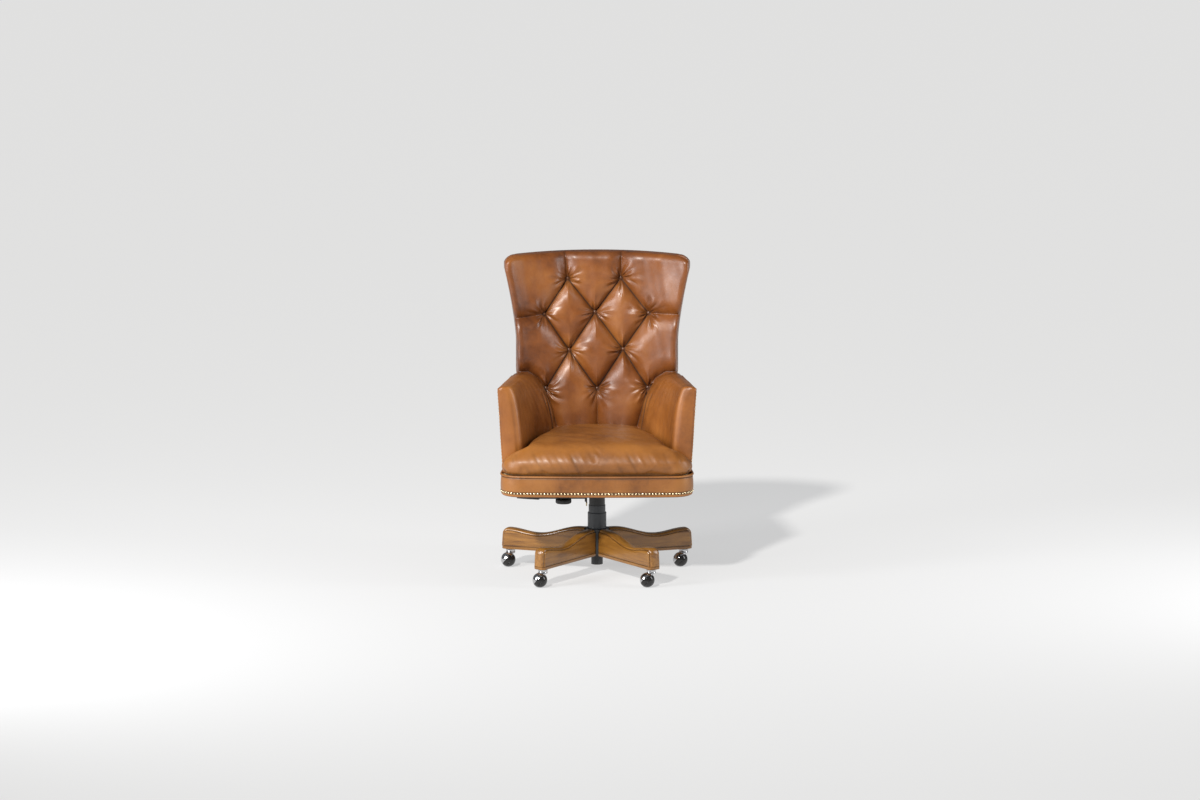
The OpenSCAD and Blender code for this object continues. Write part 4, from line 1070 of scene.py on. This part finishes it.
def leg_mesh():
    """One leg along +X, as (points, faces, painted shade marks): moulded upper edge, flat sides, base strip."""
    nose_r = 0.022
    strip = 0.011
    nose = (BASE_R - nose_r - 0.004, LEG_TIP_H - nose_r)
    path = [(r, leg_top(r)) for r in np.linspace(HUB_R, nose[0] - 0.003, 90)] + arc(nose_r, 90, 4, 14, nose)
    toe = (BASE_R - 0.001, strip + 0.0006)
    path = np.array(path + [mix(np.array(path[-1]), np.array(toe), t) for t in np.linspace(0, 1, 10)])
    n = len(path)
    tangent = np.gradient(path, axis=0)
    tangent /= np.linalg.norm(tangent, axis=1)[:, None]
    inward = np.stack([tangent[:, 1], -tangent[:, 0]], 1)
    w = LEG_W / 2
    # half section from the crown of the edge outwards: (share of the half width, depth)
    rim = [(0.0, 0.0), (w * 0.35, 0.0002), (w * 0.6, 0.0012), (w * 0.75, 0.0030), (w - 0.0040, 0.0062),
           (w - 0.0036, 0.0080), (w - 0.0040, 0.0092), (w - 0.0015, 0.0094), (w - 0.0003, 0.0105), (w, 0.0125)]
    # painted shade in the shoulder groove
    shade_marks = [0, 0, 0, 0, 0.10, 0.75, 0.75, 0.15, 0.0, 0.0]
    section_cols = []
    for q, d in rim:
        section_cols.append(np.c_[path[:, 0] + inward[:, 0] * d, np.full(n, q), path[:, 1] + inward[:, 1] * d])
    lowest = section_cols[-1]
    fill = 8
    for k in range(1, fill + 1):
        t = k / fill
        target_r = np.minimum(lowest[:, 0], BASE_R - 0.0135)
        row_z = mix(lowest[:, 2], np.minimum(lowest[:, 2], strip + 0.0006), t)
        section_cols.append(np.c_[mix(lowest[:, 0], target_r, t), np.full(n, w), row_z])
        shade_marks.append(0.0)
    # painted shade where the leg meets the base strip
    shade_marks[-1] = 0.7
    bottom = section_cols[-1].copy()
    bottom[:, 1] = 0
    section_cols.append(bottom)
    shade_marks.append(0.9)
    half = np.stack(section_cols, 1)
    cols = half.shape[1]
    mark = np.tile(np.array(shade_marks), n)
    right = half.reshape(-1, 3)
    left = right * np.array([1, -1, 1])
    faces = grid_faces(n, cols) + [tuple(reversed(f)) for f in grid_faces(n, cols, start=n * cols)]
    for ends in (0, n - 1):
        faces.append(tuple([ends * cols + j for j in range(cols)]
                           + [(n + ends) * cols + j for j in reversed(range(cols))]))
    upper = (np.vstack([right, left]), faces, np.concatenate([mark, mark]))
    # base strip: a flat board with rounded edges, a little wider than the upper part
    out, tip, corner = w + 0.0006, BASE_R - 0.003, 0.014
    plan = np.array(arc(corner, -90, 0, 8, (tip - corner, corner - out))
                    + arc(corner, 0, 90, 8, (tip - corner, out - corner)) + [(HUB_R, out), (HUB_R, -out)])
    centre = np.array([(HUB_R + tip) / 2, 0])
    rings, ring_shade = [], []
    # the last number of each ring is painted shade on the strip's top, under the leg
    for inset, z, m in ((0.004, 0.0, 0), (0.0008, 0.0004, 0), (0.0, 0.0016, 0), (0.0, strip - 0.0016, 0),
                        (0.0012, strip - 0.0002, 0.8), (0.004, strip, 1.0)):
        rings.append(np.c_[plan - np.sign(plan - centre) * inset, np.full(len(plan), z)])
        ring_shade += [m] * len(plan)
    m = len(plan)
    strip_faces = grid_faces(len(rings), m, closed=True)
    strip_faces += [tuple(reversed(range(m))), tuple((len(rings) - 1) * m + k for k in range(m))]
    lower = (np.vstack(rings), strip_faces)
    points, faces = join([upper[:2], lower])
    return points, faces, np.concatenate([upper[2], np.array(ring_shade)])


def build_legs():
    points, faces, shade_marks = leg_mesh()
    rng = np.random.default_rng(19)
    for i in range(LEG_COUNT):
        angle = FIRST_LEG + i * TAU / LEG_COUNT
        turn = Matrix.Translation((0, 0, LEG_BOTTOM)) @ Matrix.Rotation(angle, 4, "Z")
        grain = points + rng.uniform(-3, 3, size=3)
        piece = add_mesh(f"carved_leg_{i + 1}", transform(points, turn), faces, WOOD, "base",
                         [f"leg_{i + 1}"], attributes={"painted_shade": shade_marks, "grain": grain}, merge=1e-6)
        smooth_by_angle(piece, 35)


def smooth_by_angle(piece, degrees):
    """Keeps edges sharper than the angle crisp under smooth shading."""
    bm = bmesh.new()
    bm.from_mesh(piece.data)
    limit = math.radians(degrees)
    for edge in bm.edges:
        if len(edge.link_faces) == 2 and edge.calc_face_angle(0) > limit:
            edge.smooth = False
    bm.to_mesh(piece.data)
    bm.free()


def add_turned(name, parts, material, body, node, crisp=40):
    """A turned piece of several lathed parts whose edges over `crisp` degrees stay sharp."""
    points, faces = join(parts)
    smooth_by_angle(add_mesh(name, points, faces, material, body, [node], merge=1e-6), crisp)


def ball_matrix(i):
    angle = FIRST_LEG + i * TAU / LEG_COUNT
    stem = Vector((STEM_AT * math.cos(angle), STEM_AT * math.sin(angle), 0))
    trail = Vector((math.cos(TRAIL_ANGLES[i]), math.sin(TRAIL_ANGLES[i]), 0)) * CASTER_TRAIL
    place = Matrix.Translation(stem + trail + Vector((0, 0, BALL_R)))
    return stem, place @ Matrix.Rotation(TRAIL_ANGLES[i], 4, "Z") @ Matrix.Rotation(math.pi + AXLE_TILT, 4, "X")


def build_casters():
    hood_wall, groove = 0.0024, 0.0007
    shell = arc(BALL_R, -90, -2.2, 22)
    shell += [(BALL_R + 0.0004, -0.0006), (BALL_R - 0.0006, -0.0003), (BALL_R - hood_wall, -0.0008)]
    shell += arc(BALL_R - hood_wall, -4, -90, 16)
    wheel = [(0, -0.009), (0.0078, -0.009), (0.008, -0.0085), (0.008, 0.0006), (0.022, 0.0006),
             (BALL_R - 0.0008, 0.0006)]
    for start, end, count, groove_at in ((3, 34, 10, 35.2), (36.5, 68, 12, 69.5)):
        wheel += arc(BALL_R, start, end, count) + arc(BALL_R - groove, groove_at, groove_at, 1)
    wheel += arc(BALL_R, 71, 90, 7)
    for i in range(LEG_COUNT):
        stem, ball = ball_matrix(i)
        top = LEG_BOTTOM - 0.0019
        collar = [(0, top - 0.016), (0.0150, top - 0.016), (0.0165, top - 0.0145), (0.0168, top - 0.010),
                  (0.0160, top - 0.0088), (0.0160, top - 0.0078), (0.0168, top - 0.0066),
                  (0.0165, top - 0.0012), (0.0150, top), (0.0056, top), (0.0055, LEG_BOTTOM + 0.030),
                  (0, LEG_BOTTOM + 0.031)]
        place = Matrix.Translation(stem)
        pin = [(0, 0.0), (0.003, 0.0), (0.003, -0.0235), (0, -0.0235)]
        add_turned(f"caster_chrome_{i + 1}",
                   [lathe(shell, 72, ball), lathe(collar, 56, place), lathe(pin, 20, ball)],
                   CHROME, f"caster_{i + 1}", f"caster_hood_{i + 1}")
        add_turned(f"caster_ball_{i + 1}", [lathe(wheel, 72, ball)], WHEEL_PLASTIC, f"wheel_{i + 1}",
                   f"caster_wheel_{i + 1}")


def tube_profile(r, wall, low, high, lip=0.0012):
    """Lathe profile of an open tube with rounded rims."""
    return [(r - wall, low + lip), (r - wall + lip / 2, low), (r - lip, low), (r, low + lip),
            (r, high - lip), (r - lip, high), (r - wall + lip / 2, high), (r - wall, high - lip)]


def ring(profile):
    """Lathe whose profile is itself a loop."""
    return lathe(profile + profile[:1], 96)


def washer(inner, outer, low, high):
    return ring([(inner, low), (outer, low), (outer, high), (inner, high)])


def build_column():
    for node, body, material, slot in (("lower_cover", "base", COVER_PLASTIC, "cover_plastic"),
                                       ("middle_cover", "mid_cover", COVER_PLASTIC, "cover_plastic"),
                                       ("upper_cover", "lift", BLACK_PLASTIC, "black_plastic")):
        low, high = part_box(node)
        r = high.x
        parts = [ring(tube_profile(r, 0.0016, low.z, high.z))]
        if node == "lower_cover":
            parts.append(washer(0.0206, r - 0.001, low.z, low.z + 0.002))
        if node == "upper_cover":
            parts.append(washer(0.0141, r - 0.001, high.z - 0.003, high.z))
        add_turned(node.replace("cover", "dust_cover"), parts, material, body, node, 38)


def build_knob():
    low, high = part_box("tension_knob")
    centre = ((low.x + high.x) / 2, (low.y + high.y) / 2)
    r, h = (high.x - low.x) / 2, 0.017
    rows = [(0, 0.0), (r - 0.010, 0.0), (r - 0.008, 0.0006), (r - 0.006, 0.0002), (r - 0.003, 0.0006),
            (r - 0.001, 0.002), (r, 0.0045), (r, h - 0.0045), (r - 0.001, h - 0.002), (r - 0.003, h - 0.0004),
            (0.016, h), (0.015, h + 0.0005), (0.015, high.z - low.z), (0, high.z - low.z)]
    points = []
    segments = 144
    for radius, z in rows:
        for j in range(segments):
            flute = 0.0011 * (0.5 - 0.5 * math.cos(24 * TAU * j / segments)) * (radius > r - 0.0015)
            a = TAU * j / segments
            points.append(((radius - flute) * math.cos(a), (radius - flute) * math.sin(a), z))
    points = np.array(points) + np.array([centre[0], centre[1], low.z])
    add_turned("tilt_tension_knob", [(points, grid_faces(len(rows), segments, closed=True))], BLACK_PLASTIC,
               "tension", "tension_knob")


def build_lever():
    low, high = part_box("lever_grip")
    z = (low.z + high.z) / 2
    grip_start, tip = high.x, low.x
    profile = [(0, 0), (0.0062, 0.0002), (0.0070, 0.0012), (0.0071, 0.006), (0.0064, 0.020), (0.0050, 0.045),
               (0.0034, 0.068), (0.0026, 0.0775), (0.0014, 0.0795), (0, 0.080)]
    place = Matrix.Translation((grip_start, 0, z)) @ Matrix.Rotation(-math.pi / 2, 4, "Y")
    points, faces = lathe(profile, 36, place)
    points[:, 1] *= 1.25
    add_turned("lever_paddle", [(points, faces)], BLACK_PLASTIC, "lever", "lever_grip", 45)
    low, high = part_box("lever_pin")
    x = (low.x + high.x) / 2
    profile = [(0, 0), (0.0014, 0.0003), (0.0022, 0.0014), (0.0022, 0.009), (0.0030, 0.0095), (0.0030, 0.0125),
               (0.0022, 0.013), (0.0022, high.z - low.z), (0, high.z - low.z)]
    points, faces = lathe(profile, 28, Matrix.Translation((x, 0, low.z)))
    add_mesh("lever_brass_pin", points, faces, BRASS, "lever", ["lever_pin"], merge=1e-6)


# ---- stage ----------------------------------------------------------------------------
def add_light(name, kind, energy, location, target, size=None, colour=(1, 1, 1), angle=None):
    data = bpy.data.lights.new(name, kind)
    data.energy = energy
    data.color = colour
    if kind == "AREA":
        data.shape = "RECTANGLE"
        data.size, data.size_y = size
    if angle is not None:
        data.angle = math.radians(angle)
    lamp = bpy.data.objects.new(name, data)
    lamp.location = location
    lamp.rotation_euler = (Vector(target) - Vector(location)).to_track_quat("-Z", "Y").to_euler()
    bpy.context.scene.collection.objects.link(lamp)


def build_stage():
    size = 300.0
    mesh = bpy.data.meshes.new("floor")
    mesh.from_pydata([(-size, -size, 0), (size, -size, 0), (size, size, 0), (-size, size, 0)], [], [(0, 1, 2, 3)])
    floor = bpy.data.objects.new("floor", mesh)
    n = Nodes("floor_paper")
    n.set(Base_Color=(0.30, 0.30, 0.30, 1), Roughness=0.9, Emission_Color=(1, 1, 1, 1), Emission_Strength=0.50,
          Specular_IOR_Level=0.0)
    mesh.materials.append(n.material)
    bpy.context.scene.collection.objects.link(floor)
    world = bpy.data.worlds.new("studio")
    world.use_nodes = True
    tree = world.node_tree
    background = tree.nodes["Background"]
    path = tree.nodes.new("ShaderNodeLightPath")
    seen = tree.nodes.new("ShaderNodeBackground")
    blend = tree.nodes.new("ShaderNodeMixShader")
    background.inputs[0].default_value = (0.92, 0.96, 1.0, 1)
    background.inputs[1].default_value = 0.17
    seen.inputs[0].default_value = (0.77, 0.77, 0.77, 1)
    tree.links.new(path.outputs["Is Camera Ray"], blend.inputs[0])
    tree.links.new(background.outputs[0], blend.inputs[1])
    tree.links.new(seen.outputs[0], blend.inputs[2])
    tree.links.new(blend.outputs[0], tree.nodes["World Output"].inputs[0])
    bpy.context.scene.world = world


def build_lights():
    azimuth, elevation = math.radians(24), math.radians(37)
    direction = Vector((-math.sin(azimuth) * math.cos(elevation), -math.cos(azimuth) * math.cos(elevation),
                        math.sin(elevation)))
    add_light("key", "SUN", 3.5, direction * 5, (0, 0, 0), colour=(1.0, 0.98, 0.95), angle=4)
    for name, energy, location in (("window_left", 78, (-2.7, -1.5, 1.7)),
                                   ("window_right", 40, (3.0, -0.6, 1.5))):
        add_light(name, "AREA", energy, location, (0, 0, 0.75), size=(0.8, 2.0), colour=(0.97, 0.98, 1.0))


def build_camera():
    elevation = math.radians(10.46)
    aim = Vector((0.0105, 0, 0.614))
    distance = 26.0
    data = bpy.data.cameras.new("camera")
    data.sensor_width = 36
    data.lens = 76.8 * distance / 9
    data.clip_end = 500
    camera = bpy.data.objects.new("camera", data)
    camera.location = aim + distance * Vector((0, -math.cos(elevation), math.sin(elevation)))
    camera.rotation_euler = (math.pi / 2 - elevation, 0, 0)
    bpy.context.scene.collection.objects.link(camera)
    bpy.context.scene.camera = camera
    bpy.context.scene.view_settings.view_transform = "Standard"


# ---- the chair ------------------------------------------------------------------------
dress_cad_nodes()
build_back()
build_buttons()
build_back_panel()
build_back_welt()
build_arm(1, "arm_upholstery_right")
build_arm(-1, "arm_upholstery_left")
build_arm_panel(1, "arm_outside_right")
build_arm_panel(-1, "arm_outside_left")
build_seat()
build_rail_band()
build_seat_welt()
build_nails()
build_legs()
build_casters()
build_column()
build_knob()
build_lever()
build_stage()
build_lights()
build_camera()
